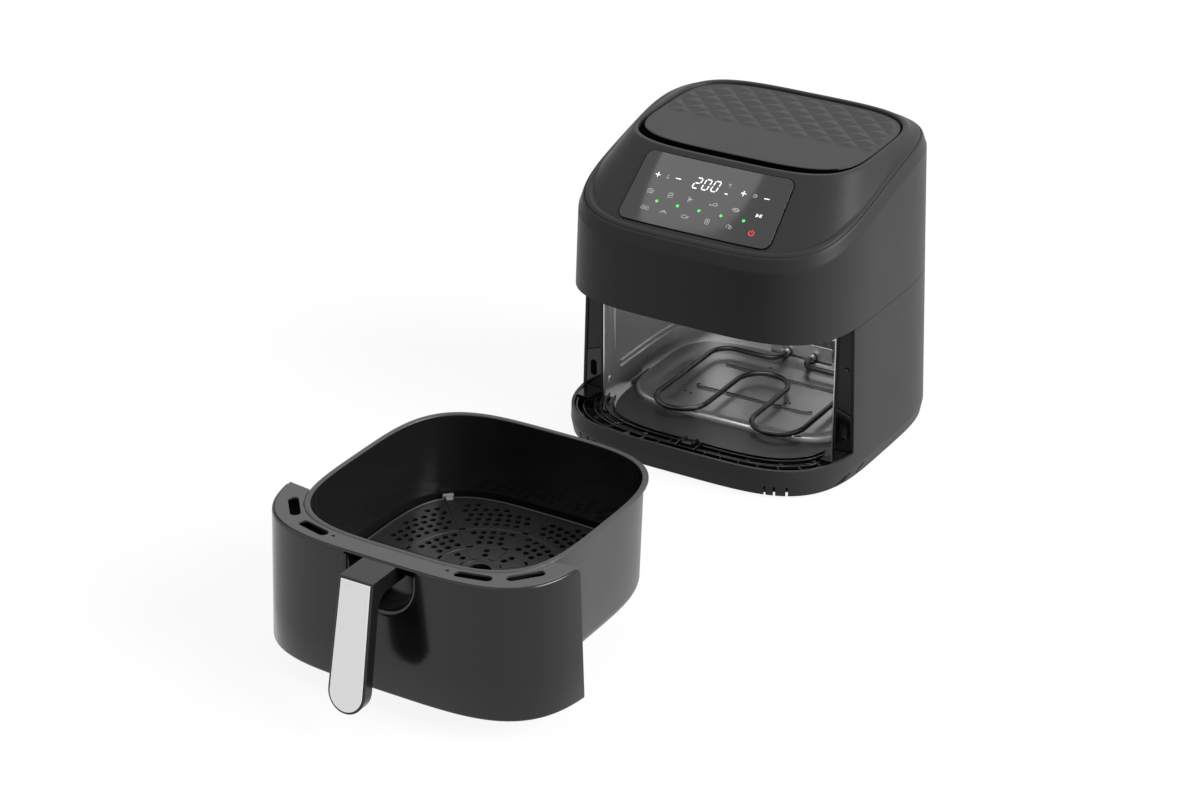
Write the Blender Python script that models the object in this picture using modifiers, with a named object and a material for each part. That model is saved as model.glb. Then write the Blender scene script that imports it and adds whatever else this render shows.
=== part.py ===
"""Air fryer with a pull-out pan drawer, a crisper plate, two heating elements and a touch panel.

Frame: metres, +Z up, the floor at Z = 0, the front of the appliance towards -Y.
The drawer stands fully pulled out, and slides home along +Y by DRAWER_TRAVEL.
"""
import math

import bmesh
import bpy
from mathutils import Matrix, Vector

MM = 0.001
GAP = 0.3 * MM

# Driving dimensions of the appliance
FOOT_HEIGHT = 2 * MM
FOOT_RADIUS = 11 * MM
HOUSING_Y = 286.963 * MM           # the housing's axis, behind the middle of the whole object
LIP_TOP = 31.3 * MM
OPENING_TOP = 168.5 * MM
OPENING_BACK = -72.5 * MM          # the opening's side edges, from the housing's axis
HALF_WIDTH = 162 * MM             # outer half width at the lip
HALF_DEPTH = 157 * MM
FLARE = 0.030                     # the walls lean in by this much for each unit of height
WALL = 3 * MM
SQUARENESS = 4.0                  # exponent of the housing's rounded-square plan
SHOULDER_FRONT = 255 * MM         # the sloping seam under the control shroud
SHOULDER_SLOPE = 0.27
SHOULDER_MAX = 316 * MM
RIM_HEIGHT = 323 * MM             # the rim round the lid, at its rear
RIM_SLOPE = 0.037                 # the rim and the lid fall by this much towards the front
RIM_HALF_WIDTH = 132 * MM
RIM_HALF_DEPTH = 99.75 * MM
RIM_Y = 33.25 * MM

# Driving dimensions of the drawer
DRAWER_TRAVEL = 524 * MM
DRAWER_DROP = 12.5 * MM           # the drawer is set down this much lower than its place in the housing
DRAWER_HOME = 3.7 * MM           # the pan's axis from the housing's axis, with the drawer home
RIM_Z = 152.3 * MM                # the pan's rim, with the drawer out
PAN_HALF = 129.5 * MM
PAN_DEPTH = 119 * MM
PAN_SQUARENESS = 3.75
PAN_SHEET = 1.5 * MM
FLANGE = 5 * MM
PANEL_INSET = 0.5 * MM            # the front panel sits this far inside the housing's outline
PANEL_HEIGHT = 131.2 * MM
TRIM_THICK = 3 * MM
PLATE_DEPTH = 85 * MM             # the crisper plate's top, below the pan's rim
PLATE_HALF = 122 * MM
PLATE_THICK = 2 * MM

# Driving dimensions of the inside and the rear
GRILLE_Z = 252 * MM
GRILLE_HALF_WIDTH = 80 * MM
GRILLE_HALF_HEIGHT = 29 * MM
CAVITY_HALF = 137 * MM
CAVITY_HALF_DEPTH = 140.5 * MM
CAVITY_FLOOR = 14 * MM
CAVITY_ROOF = 206 * MM
LINER_SHEET = 1.2 * MM
TUBE_RADIUS = 3.2 * MM
PLUNGER_RADIUS = 2 * MM
PLUNGER_X = 148.6 * MM
PLUNGER_Z = 122 * MM

DRAWER_Y = HOUSING_Y + DRAWER_HOME - DRAWER_TRAVEL
RIM_HOME_Z = RIM_Z + DRAWER_DROP
RING_POINTS = 48

for leftover in list(bpy.data.objects):
    bpy.data.objects.remove(leftover, do_unlink=True)

parts = bpy.data.collections.new("air_fryer")
cutters = bpy.data.collections.new("cutters")
for collection in (parts, cutters):
    bpy.context.scene.collection.children.link(collection)


def material(name, colour, roughness, metallic=0.0):
    made = bpy.data.materials.new(name)
    made.use_nodes = True
    shader = made.node_tree.nodes["Principled BSDF"]
    shader.inputs["Base Color"].default_value = (*colour, 1.0)
    shader.inputs["Roughness"].default_value = roughness
    shader.inputs["Metallic"].default_value = metallic
    return made


def add_part(name, data, colour, roughness, metallic=0.0, location=(0, 0, 0)):
    part = bpy.data.objects.new(name, data)
    part.location = location
    parts.objects.link(part)
    data.materials.append(material(name, colour, roughness, metallic))
    return part


BLACK = (0.018, 0.018, 0.019)
CHARCOAL = (0.045, 0.045, 0.047)
GREY = (0.13, 0.13, 0.14)
STEEL = (0.55, 0.55, 0.56)
SILVER = (0.72, 0.72, 0.72)
OXIDE = (0.25, 0.24, 0.23)
RUBBER = (0.03, 0.03, 0.03)
SILICONE = (0.3, 0.3, 0.3)
NON_STICK = (0.1, 0.1, 0.1)
PLATE_COAT = (0.05, 0.05, 0.05)
SWITCH_RED = (0.5, 0.1, 0.08)
BOARD_GREEN = (0.02, 0.16, 0.06)


def rounded_square(half_x, half_y, squareness, z=0.0, centre_y=0.0, start=0.0, end=math.tau,
                   count=RING_POINTS):
    """Points of a superellipse, at even angles; a full turn does not repeat its first point."""
    full = end - start >= math.tau - 1e-6
    steps = count if full else count - 1
    points = []
    for index in range(count):
        angle = start + (end - start) * index / steps
        across, along = math.cos(angle), math.sin(angle)
        spread = abs(across / half_x) ** squareness + abs(along / half_y) ** squareness
        reach = spread ** (-1 / squareness)
        points.append(Vector((reach * across, centre_y + reach * along, z)))
    return points


def front_arc(half_x, half_y, squareness, z, back_y, count):
    """The stretch of a rounded square that lies in front of back_y, from the left side round to the right."""
    side_x = half_x * (1 - abs(back_y / half_y) ** squareness) ** (1 / squareness)
    corner = math.atan2(abs(back_y), side_x)
    return rounded_square(half_x, half_y, squareness, z, 0.0, math.pi + corner, math.tau - corner, count)


def housing_half(z):
    lean = FLARE * (z - LIP_TOP)
    return HALF_WIDTH - lean, HALF_DEPTH - lean


def housing_ring(z, inset=0.0):
    half_x, half_y = housing_half(z)
    return rounded_square(half_x - inset, half_y - inset, SQUARENESS, z)


def shoulder_ring(drop=0.0, inset=0.0):
    """The housing's outline where the sloping shoulder plane meets it."""
    points = []
    for point in housing_ring(SHOULDER_FRONT, inset):
        rise = SHOULDER_FRONT + SHOULDER_SLOPE * (point.y + HALF_DEPTH)
        soft = 6 * MM
        height = SHOULDER_MAX - soft * math.log1p(math.exp((SHOULDER_MAX - rise) / soft)) - drop
        shrink = 1 - FLARE * (height - SHOULDER_FRONT) / HALF_WIDTH
        points.append(Vector((point.x * shrink, point.y * shrink, height)))
    return points


def sloping(points):
    """Lowers the points towards the front, in the plane of the rim."""
    for point in points:
        point.z -= RIM_SLOPE * (RIM_Y + RIM_HALF_DEPTH - point.y)
    return points


def loft(name, rings, closed=True, cap_first=False, cap_last=False):
    """A skin through rings of equal length, with flat caps on its first and last ring where asked."""
    mesh = bpy.data.meshes.new(name)
    build = bmesh.new()
    rows = [[build.verts.new(point) for point in ring] for ring in rings]
    count = len(rows[0])
    for lower, upper in zip(rows, rows[1:]):
        for index in range(count if closed else count - 1):
            following = (index + 1) % count
            build.faces.new((lower[index], lower[following], upper[following], upper[index]))
    if cap_first:
        build.faces.new(list(reversed(rows[0])))
    if cap_last:
        build.faces.new(rows[-1])
    build.to_mesh(mesh)
    build.free()
    return mesh


def solidify(part, thickness, offset=-1.0):
    shell = part.modifiers.new("thickness", "SOLIDIFY")
    shell.thickness = thickness
    shell.offset = offset
    shell.use_even_offset = True
    return part


def flat_curve(name, outlines, thickness):
    """A flat sheet with its lower face at Z = 0; outlines after the first are holes."""
    curve = bpy.data.curves.new(name, "CURVE")
    curve.dimensions = "2D"
    curve.fill_mode = "BOTH"
    curve.extrude = thickness / 2
    for outline in outlines:
        spline = curve.splines.new("POLY")
        spline.points.add(len(outline) - 1)
        for point, place in zip(spline.points, outline):
            point.co = (place[0], place[1], 0, 1)
        spline.use_cyclic_u = True
    return curve


def plate(name, outlines, thickness, colour, roughness, metallic=0.0, location=(0, 0, 0), turn=None):
    """A sheet whose lower face is at the location; turn is a rotation about that place."""
    curve = flat_curve(name, outlines, thickness)
    part = add_part(name, curve, colour, roughness, metallic)
    lift = Matrix.Translation((0, 0, thickness / 2))
    part.matrix_world = Matrix.Translation(location) @ (turn or Matrix.Identity(4)) @ lift
    return part


def wire(name, points, radius, colour, roughness, metallic=1.0, cyclic=False):
    curve = bpy.data.curves.new(name, "CURVE")
    curve.dimensions = "3D"
    curve.bevel_depth = radius
    curve.bevel_resolution = 2
    curve.use_fill_caps = True
    spline = curve.splines.new("POLY")
    spline.points.add(len(points) - 1)
    for point, place in zip(spline.points, points):
        point.co = (*place, 1)
    spline.use_cyclic_u = cyclic
    return add_part(name, curve, colour, roughness, metallic)


def as_mesh(part):
    """Turns a curve part into a closed mesh part in the same place, ready to be cut."""
    evaluated = part.evaluated_get(bpy.context.evaluated_depsgraph_get())
    mesh = bpy.data.meshes.new_from_object(evaluated)
    weld = bmesh.new()
    weld.from_mesh(mesh)
    bmesh.ops.remove_doubles(weld, verts=weld.verts, dist=0.01 * MM)
    bmesh.ops.recalc_face_normals(weld, faces=weld.faces)
    weld.to_mesh(mesh)
    weld.free()
    made = bpy.data.objects.new("new", mesh)
    made.matrix_world = part.matrix_world.copy()
    name, home = part.name, part.users_collection[0]
    bpy.data.objects.remove(part, do_unlink=True)
    made.name = name
    home.objects.link(made)
    return made


def box_mesh(name, size, bevel=0.0):
    mesh = bpy.data.meshes.new(name)
    build = bmesh.new()
    bmesh.ops.create_cube(build, size=1.0, matrix=Matrix.Diagonal((*size, 1.0)))
    if bevel:
        bmesh.ops.bevel(build, geom=build.edges, offset=bevel, segments=2, affect="EDGES")
    build.to_mesh(mesh)
    build.free()
    return mesh


def cylinder_mesh(name, radius, depth, sides=24, top_radius=None):
    mesh = bpy.data.meshes.new(name)
    build = bmesh.new()
    upper = radius if top_radius is None else top_radius
    bmesh.ops.create_cone(build, cap_ends=True, segments=sides, radius1=radius, radius2=upper, depth=depth)
    build.to_mesh(mesh)
    build.free()
    return mesh


def turned(name, profile):
    """A turned part: profile is (radius, z) down its outer side, spun about Z by a Screw modifier."""
    mesh = bpy.data.meshes.new(name)
    mesh.from_pydata([(radius, 0, z) for radius, z in profile], [], [])
    build = bmesh.new()
    build.from_mesh(mesh)
    build.verts.ensure_lookup_table()
    for index in range(len(profile) - 1):
        build.edges.new((build.verts[index], build.verts[index + 1]))
    if profile[0][0] > 1e-6:
        build.edges.new((build.verts[-1], build.verts[0]))
    build.to_mesh(mesh)
    build.free()
    return mesh


def screw(part, steps=32):
    spin = part.modifiers.new("spin", "SCREW")
    spin.steps = spin.render_steps = steps
    spin.use_merge_vertices = True
    spin.merge_threshold = 0.01 * MM
    return part


def boolean(part, cutter, operation="DIFFERENCE"):
    """Applies the tool object to the part, and keeps it in the cutters' collection as a guide."""
    for collection in cutter.users_collection:
        collection.objects.unlink(cutter)
    cutters.objects.link(cutter)
    cutter.hide_render = True
    cutter.display_type = "WIRE"
    step = part.modifiers.new(cutter.name, "BOOLEAN")
    step.object = cutter
    step.operation = operation
    return part


def tool(name, mesh, location=(0, 0, 0), turn=None):
    made = bpy.data.objects.new(name, mesh)
    made.matrix_world = Matrix.Translation(location) @ (turn or Matrix.Identity(4))
    cutters.objects.link(made)
    return made


def tool_plate(name, outline, thickness, location, turn=None):
    """A prism with its lower face at the location, as a closed mesh."""
    rings = [[Vector((x, y, z)) for x, y in outline] for z in (0.0, thickness)]
    return tool(name, loft(name, rings, cap_first=True, cap_last=True), location, turn)


def smooth(part, angle=35):
    part.data.shade_smooth()
    part.data.set_sharp_from_angle(angle=math.radians(angle))
    return part


def circle(radius, centre=(0.0, 0.0), count=24):
    return [(centre[0] + radius * math.cos(math.tau * step / count),
             centre[1] + radius * math.sin(math.tau * step / count)) for step in range(count)]


def rounded_rectangle(half_x, half_y, radius, taper=0.0, corner_steps=5):
    """A rounded rectangle, anticlockwise; taper makes its +Y edge narrower by that much on each side."""
    outline = []
    for quarter, (sign_x, sign_y) in enumerate(((1, 1), (-1, 1), (-1, -1), (1, -1))):
        for step in range(corner_steps + 1):
            angle = math.pi / 2 * (quarter + step / corner_steps)
            y = sign_y * (half_y - radius) + radius * math.sin(angle)
            side = half_x - taper * (0.5 + y / (2 * half_y))
            outline.append((sign_x * (side - radius) + radius * math.cos(angle), y))
    return outline


def flat_points(ring, centre_y=0.0):
    return [(point.x, point.y - centre_y) for point in ring]


# ---------------------------------------------------------------- housing

def make_housing():
    base_rings = [housing_ring(FOOT_HEIGHT, 1.5 * MM), housing_ring(FOOT_HEIGHT + 6 * MM),
                  housing_ring(LIP_TOP - 9 * MM), housing_ring(OPENING_TOP)]
    lower = add_part("lower_housing", loft("lower_housing", base_rings), CHARCOAL, 0.45,
                     location=(0, HOUSING_Y, 0))
    solidify(lower, WALL)
    opening_depth = 120 * MM
    opening_height = OPENING_TOP - LIP_TOP + 40 * MM
    opening = tool("drawer_opening", box_mesh("drawer_opening", (0.5, opening_depth, opening_height)),
                   (0, HOUSING_Y + OPENING_BACK - opening_depth / 2, LIP_TOP + opening_height / 2))
    boolean(lower, opening)

    upper_rings = [housing_ring(OPENING_TOP + GAP), shoulder_ring(drop=12 * MM),
                   shoulder_ring(drop=2 * MM, inset=2.6 * MM), shoulder_ring(inset=4.4 * MM)]
    upper = add_part("upper_housing", loft("upper_housing", upper_rings), CHARCOAL, 0.45,
                     location=(0, HOUSING_Y, 0))
    solidify(upper, WALL)
    hole_size = (2 * GRILLE_HALF_WIDTH + 2 * GAP, 60 * MM, 2 * GRILLE_HALF_HEIGHT + 2 * GAP)
    grille_hole = tool("grille_hole", box_mesh("grille_hole", hole_size),
                       (0, HOUSING_Y + housing_half(GRILLE_Z)[1], GRILLE_Z))
    boolean(upper, grille_hole)
    for part in (lower, upper):
        smooth(part)

    start = shoulder_ring(drop=-2.5 * GAP, inset=4.8 * MM)
    crown = shoulder_ring(drop=-2.9 * MM, inset=8.5 * MM)
    rim_top, rim_in, rim_low = [
        sloping(rounded_square(RIM_HALF_WIDTH - inset, RIM_HALF_DEPTH - inset, SQUARENESS,
                               RIM_HEIGHT - drop, RIM_Y))
        for inset, drop in ((0, 0), (4 * MM, 0), (4.3 * MM, 8 * MM))]
    shroud = add_part("control_shroud", loft("control_shroud", [start, crown, rim_top, rim_in, rim_low]),
                      CHARCOAL, 0.4, location=(0, HOUSING_Y, 0))
    solidify(shroud, 2.2 * MM)
    boolean(shroud, display_pocket())
    smooth(shroud)

    lid_deep = 11 * MM
    frame_z = RIM_HEIGHT - lid_deep - 3 * MM - GAP - RIM_SLOPE * RIM_HALF_DEPTH
    lid_half_x, lid_half_y = RIM_HALF_WIDTH - 9 * MM, RIM_HALF_DEPTH - 11.5 * MM
    lid_y = RIM_Y + 2 * MM
    frame_outer = rounded_square(RIM_HALF_WIDTH - 7.5 * MM, RIM_HALF_DEPTH - 7.5 * MM, SQUARENESS)
    frame_inner = rounded_square(lid_half_x - 22 * MM, lid_half_y - 22 * MM, SQUARENESS, count=32)
    plate("lid_frame", [flat_points(frame_outer), flat_points(frame_inner)], 3 * MM, BLACK, 0.5,
          location=(0, HOUSING_Y + RIM_Y, frame_z), turn=Matrix.Rotation(math.atan(RIM_SLOPE), 4, "X"))
    lid_rings = [sloping(rounded_square(lid_half_x - inset, lid_half_y - inset, SQUARENESS,
                                        RIM_HEIGHT - drop, lid_y))
                 for inset, drop in ((2 * MM, lid_deep), (0, 8 * MM), (0, 2 * MM), (1.5 * MM, 0.6 * MM))]
    lid = add_part("top_lid", loft("top_lid", lid_rings, cap_first=True, cap_last=True), GREY, 0.5,
                   location=(0, HOUSING_Y, 0))
    smooth(lid)


DISPLAY_BOTTOM = Vector((0, HOUSING_Y - 129.4 * MM, 262.6 * MM))
DISPLAY_TOP = Vector((0, HOUSING_Y - 71.2 * MM, 312.4 * MM))
DISPLAY_HALF_WIDTH = 86 * MM
GLASS_THICK = 2.5 * MM


def display_frame():
    """Local X across the panel, Y up its slope and Z out of it, at the middle of the display."""
    up_slope = (DISPLAY_TOP - DISPLAY_BOTTOM).normalized()
    across = Vector((1, 0, 0))
    outward = across.cross(up_slope)
    turn = Matrix((across, up_slope, outward)).transposed().to_4x4()
    return turn, (DISPLAY_TOP + DISPLAY_BOTTOM) / 2, (DISPLAY_TOP - DISPLAY_BOTTOM).length / 2, outward


def display_pocket():
    turn, middle, half_height, outward = display_frame()
    room = 0.6 * MM
    outline = rounded_rectangle(DISPLAY_HALF_WIDTH + room, half_height + room, 9 * MM, taper=3 * MM)
    return tool_plate("display_pocket", outline, 24 * MM, middle - outward * 12 * MM, turn)


def make_display():
    turn, middle, half_height, outward = display_frame()
    outline = rounded_rectangle(DISPLAY_HALF_WIDTH, half_height, 8.5 * MM, taper=3 * MM)
    plate("display_glass", [outline], GLASS_THICK, BLACK, 0.12,
          location=middle - outward * (GLASS_THICK - 0.4 * MM), turn=turn)
    board_outline = rounded_rectangle(72 * MM, 27 * MM, 3 * MM)
    plate("control_board", [board_outline], 1.6 * MM, BOARD_GREEN, 0.5,
          location=middle - outward * 14 * MM, turn=turn)
    carrier_outline = rounded_rectangle(76 * MM, 30 * MM, 4 * MM)
    window = rounded_rectangle(66 * MM, 22 * MM, 3 * MM)
    plate("board_carrier", [carrier_outline, window], 4 * MM, BLACK, 0.6,
          location=middle - outward * 11.5 * MM, turn=turn)


def make_base():
    inner = housing_ring(FOOT_HEIGHT + 3 * MM, 8 * MM)
    plate("base_plate", [flat_points(inner)], 2.5 * MM, BLACK, 0.6,
          location=(0, HOUSING_Y, FOOT_HEIGHT + 1.5 * MM))
    places = (("front_left", -90 * MM, -132 * MM), ("front_right", 90 * MM, -132 * MM),
              ("rear_left", -105 * MM, 118 * MM), ("rear_right", 105 * MM, 118 * MM))
    profile = [(0.0, FOOT_HEIGHT + 1.2 * MM), (FOOT_RADIUS, FOOT_HEIGHT + 1.2 * MM),
               (FOOT_RADIUS, 1.2 * MM), (FOOT_RADIUS - 1.5 * MM, 0), (0.0, 0)]
    for corner, x, y in places:
        name = f"foot_{corner}"
        foot = add_part(name, turned(name, profile), RUBBER, 0.85,
                        location=(x, HOUSING_Y + y, 0))
        screw(foot, 20)
        screw_name = f"base_screw_{corner}"
        add_part(screw_name, cylinder_mesh(screw_name, 3.5 * MM, 2 * MM, 12), SILVER, 0.3, 1.0,
                 location=(x * 0.7, HOUSING_Y + y, FOOT_HEIGHT + 0.2 * MM))


# ---------------------------------------------------------------- cavity

def make_cavity():
    back = math.asin(min(1.0, abs(OPENING_BACK + 1.5 * MM) / CAVITY_HALF)) * 0.9
    start_angle, end_angle = -back, math.pi + back
    rings = []
    for z in (CAVITY_FLOOR, (CAVITY_FLOOR + CAVITY_ROOF) / 2, CAVITY_ROOF):
        rings.append(rounded_square(CAVITY_HALF, CAVITY_HALF_DEPTH, SQUARENESS, z, 0.0,
                                    start_angle, end_angle, 48))
    liner = add_part("cavity_liner", loft("cavity_liner", rings, closed=False), STEEL, 0.35, 1.0,
                     location=(0, HOUSING_Y, 0))
    solidify(liner, LINER_SHEET, offset=1.0)
    smooth(liner)

    floor_ring = rounded_square(CAVITY_HALF + LINER_SHEET, CAVITY_HALF_DEPTH + LINER_SHEET, SQUARENESS)
    floor_outline = [(x, max(y, -103 * MM)) for x, y in flat_points(floor_ring)]
    plate("cavity_floor", [floor_outline], 1.5 * MM, STEEL, 0.4, 1.0,
          location=(0, HOUSING_Y, CAVITY_FLOOR - 1.5 * MM - GAP))
    shaft_hole = circle(9 * MM, count=20)
    roof_ring = rounded_square(CAVITY_HALF + 3 * MM, CAVITY_HALF_DEPTH + 1 * MM, SQUARENESS)
    roof_outline = [(x, max(y, -123 * MM)) for x, y in flat_points(roof_ring)]
    plate("cavity_roof", [roof_outline, shaft_hole], 1.5 * MM, STEEL, 0.35, 1.0,
          location=(0, HOUSING_Y, CAVITY_ROOF + GAP))

    tray_half_x, tray_half_y, tray_y = 124 * MM, 88 * MM, 30 * MM
    levels = ((0 * MM, 0.5 * MM), (-1 * MM, 5 * MM), (-3.5 * MM, 6.5 * MM), (-6 * MM, 5 * MM),
              (-9 * MM, 1.2 * MM))
    tray_rings = [rounded_square(tray_half_x + grow, tray_half_y + grow, 3.2, z, tray_y, count=48)
                  for grow, z in levels]
    tray = add_part("reflector_tray", loft("reflector_tray", tray_rings, cap_last=True), STEEL, 0.25, 1.0,
                    location=(0, HOUSING_Y, CAVITY_FLOOR + 0.8 * MM + GAP))
    solidify(tray, 0.8 * MM, offset=-1.0)
    smooth(tray)


def arc(centre, radius, start, end, steps):
    return [(centre[0] + radius * math.cos(start + (end - start) * step / steps),
             centre[1] + radius * math.sin(start + (end - start) * step / steps)) for step in range(steps + 1)]


ELEMENT_Z = CAVITY_FLOOR + 12 * MM


def lower_element_path():
    """Right half of the M-shaped element, from its terminal to the middle of the centre loop."""
    outer_x, inner_x = 86 * MM, 28.5 * MM
    loop_x = (outer_x + inner_x) / 2
    loop_radius = (outer_x - inner_x) / 2
    tip_y = -67 * MM
    bend = 22 * MM
    rear_y = 93 * MM
    centre_top = 57 * MM
    path = [(15.5 * MM, rear_y + 26 * MM), (16 * MM, rear_y + 12 * MM), (19 * MM, rear_y + 4 * MM),
            (26 * MM, rear_y)]
    path += arc((outer_x - bend, rear_y - bend), bend, math.pi / 2, 0, 6)
    path += arc((loop_x, tip_y + loop_radius), loop_radius, 0, -math.pi, 12)
    path += arc((0, centre_top - inner_x), inner_x, 0, math.pi / 2, 6)
    return path


def make_elements():
    right = lower_element_path()
    left = [(-x, y) for x, y in reversed(right[:-1])]
    points = [(x, y + HOUSING_Y, ELEMENT_Z) for x, y in right + left]
    wire("lower_heating_element", points, TUBE_RADIUS, OXIDE, 0.4)

    bracket_mesh = box_mesh("element_bracket", (60 * MM, 3 * MM, 20 * MM), 0.6 * MM)
    bracket = add_part("element_bracket", bracket_mesh, STEEL, 0.35, 1.0,
                       location=(0, HOUSING_Y + 121 * MM, CAVITY_FLOOR + 10.5 * MM))
    smooth(bracket)

    ring_radius = 84 * MM
    turn_start = math.radians(100)
    sweep = math.radians(340)
    ring_points = [(ring_radius * math.cos(turn_start + sweep * step / 44),
                    HOUSING_Y + ring_radius * math.sin(turn_start + sweep * step / 44),
                    CAVITY_ROOF - 22 * MM) for step in range(45)]
    wire("upper_heating_element", ring_points, TUBE_RADIUS, OXIDE, 0.4)

    windows = []
    for inner, outer, sectors in ((14 * MM, 50 * MM, 4), (54 * MM, 92 * MM, 8)):
        rib = 2.2 * MM
        for sector in range(sectors):
            start = math.tau * sector / sectors
            end = math.tau * (sector + 1) / sectors
            near = arc((0, 0), inner, start + rib / inner, end - rib / inner, 4)
            far = arc((0, 0), outer, end - rib / outer, start + rib / outer, 6)
            windows.append(near + far)
    plate("element_guard", [circle(97 * MM, count=48)] + windows, 1.2 * MM, STEEL, 0.35, 1.0,
          location=(0, HOUSING_Y, CAVITY_ROOF - 30 * MM))


def make_fan(name, radius, blades, blade_height, disc_z, up, colour, metallic):
    """A disc with upright blades, joined into one body round a bored hub."""
    bore = 3 * MM + GAP
    hub = 9 * MM
    disc = 1.4 * MM
    outline = circle(radius, count=32)
    fan = plate(name, [outline, circle(bore, count=16)], disc, colour, 0.4, metallic,
                location=(0, HOUSING_Y, disc_z))
    fan = as_mesh(fan)
    blade_length = radius - hub - 4 * MM
    lift = (blade_height / 2 + disc / 2) * (1 if up else -1)
    for index in range(blades):
        angle = math.tau * index / blades
        turn = Matrix.Rotation(angle, 4, "Z")
        place = Vector((math.cos(angle), math.sin(angle), 0)) * (hub + blade_length / 2)
        centre = Vector((0, HOUSING_Y, disc_z + disc / 2 + lift)) + place
        blade_mesh = box_mesh(f"{name}_blade", (blade_length, 1.2 * MM, blade_height + disc))
        blade = tool(f"{name}_blade_{index}", blade_mesh, centre, turn)
        boolean(fan, blade, "UNION")
    return fan


def make_drive():
    make_fan("hot_air_fan", 66 * MM, 8, 9 * MM, CAVITY_ROOF - 14 * MM, False, STEEL, 1.0)
    make_fan("cooling_fan", 48 * MM, 8, 8 * MM, CAVITY_ROOF + 12 * MM, True, BLACK, 0.0)
    shaft_bottom, shaft_top = CAVITY_ROOF - 17.5 * MM, CAVITY_ROOF + 44 * MM
    shaft_mesh = cylinder_mesh("fan_shaft", 3 * MM, shaft_top - shaft_bottom, 16)
    add_part("fan_shaft", shaft_mesh, SILVER, 0.3, 1.0,
             location=(0, HOUSING_Y, (shaft_top + shaft_bottom) / 2))
    plate("fan_nut", [circle(5.5 * MM, count=6), circle(3 * MM + GAP, count=16)], 3.2 * MM, SILVER, 0.3,
          1.0, location=(0, HOUSING_Y, CAVITY_ROOF - 17.5 * MM))

    motor_low, motor_high = CAVITY_ROOF + 34 * MM, CAVITY_ROOF + 72 * MM
    bore = 3 * MM + GAP
    profile = [(0.0, motor_high), (12 * MM, motor_high), (12 * MM, motor_high - 5 * MM),
               (32 * MM, motor_high - 5 * MM), (32 * MM, motor_low), (bore, motor_low),
               (bore, motor_low + 16 * MM), (0.0, motor_low + 16 * MM)]
    motor = add_part("fan_motor", turned("fan_motor", profile), GREY, 0.45, 0.8,
                     location=(0, HOUSING_Y, 0))
    screw(motor, 28)

    bracket_z = motor_low - 2 * MM - GAP
    bracket_outline = rounded_rectangle(58 * MM, 40 * MM, 6 * MM)
    bracket = plate("motor_bracket", [bracket_outline, circle(12 * MM)], 2 * MM, STEEL, 0.4, 1.0,
                    location=(0, HOUSING_Y, bracket_z))
    bracket = as_mesh(bracket)
    post_low = CAVITY_ROOF + 1.5 * MM + 2 * GAP
    post_high = bracket_z + 1 * MM
    for side_x in (-1, 1):
        for side_y in (-1, 1):
            centre = (side_x * 53 * MM, HOUSING_Y + side_y * 34 * MM, (post_high + post_low) / 2)
            post = tool("post", cylinder_mesh("post", 3.5 * MM, post_high - post_low, 12), centre)
            boolean(bracket, post, "UNION")

    plate("power_board", [rounded_rectangle(50 * MM, 28 * MM, 2 * MM)], 1.6 * MM, BOARD_GREEN, 0.5,
          location=(0, HOUSING_Y + 96 * MM, CAVITY_ROOF + 26 * MM))


# ---------------------------------------------------------------- opening

BEZEL_Z = LIP_TOP - 12 * MM


def make_opening():
    inset = 4.2 * MM
    half_x, half_y = housing_half(LIP_TOP)
    outer = front_arc(half_x - inset, half_y - inset, SQUARENESS, 0, OPENING_BACK + 8 * MM, 40)
    inner_front = -109 * MM
    right = [(150 * MM, OPENING_BACK + 8 * MM), (140 * MM, OPENING_BACK - 6 * MM),
             (112 * MM, inner_front + 6 * MM), (80 * MM, inner_front)]
    inner = right + [(-x, y) for x, y in reversed(right)]
    plate("front_bezel", [[(p.x, p.y) for p in outer] + inner], 3 * MM, BLACK, 0.15,
          location=(0, HOUSING_Y, BEZEL_Z))
    upright = Matrix.Rotation(math.radians(90), 4, "X")
    low, high = LIP_TOP - 8 * MM, OPENING_TOP - 2.5 * MM
    cover_inner, cover_low, cover_high = 139.2 * MM, 156 * MM, 150.1 * MM
    for side, name in ((-1, "left"), (1, "right")):
        outline = [(side * x, z) for x, z in ((cover_inner, low), (cover_low, low), (cover_high, high),
                                              (cover_inner, high))]
        oval = [(side * 148 * MM + x, y + 52 * MM)
                for x, y in rounded_rectangle(3.6 * MM, 9 * MM, 3.5 * MM, 0, 3)]
        holes = [oval]
        if side > 0:
            holes.append(circle(PLUNGER_RADIUS + GAP, (PLUNGER_X, PLUNGER_Z), 12))
        plate(f"{name}_pillar_cover", [outline] + holes, 2.5 * MM, CHARCOAL, 0.4,
              location=(0, HOUSING_Y + OPENING_BACK + 3.4 * MM, 0), turn=upright)
    catch_mesh = box_mesh("drawer_catch", (16 * MM, 9 * MM, 4 * MM), 1 * MM)
    catch = add_part("drawer_catch", catch_mesh, BLACK, 0.4,
                     location=(0, HOUSING_Y - 123 * MM, BEZEL_Z + 5.3 * MM))
    smooth(catch)


# ---------------------------------------------------------------- rear

SPACER_Z = 150 * MM
INLET_X = 95 * MM
INLET_Z = 45 * MM


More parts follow.
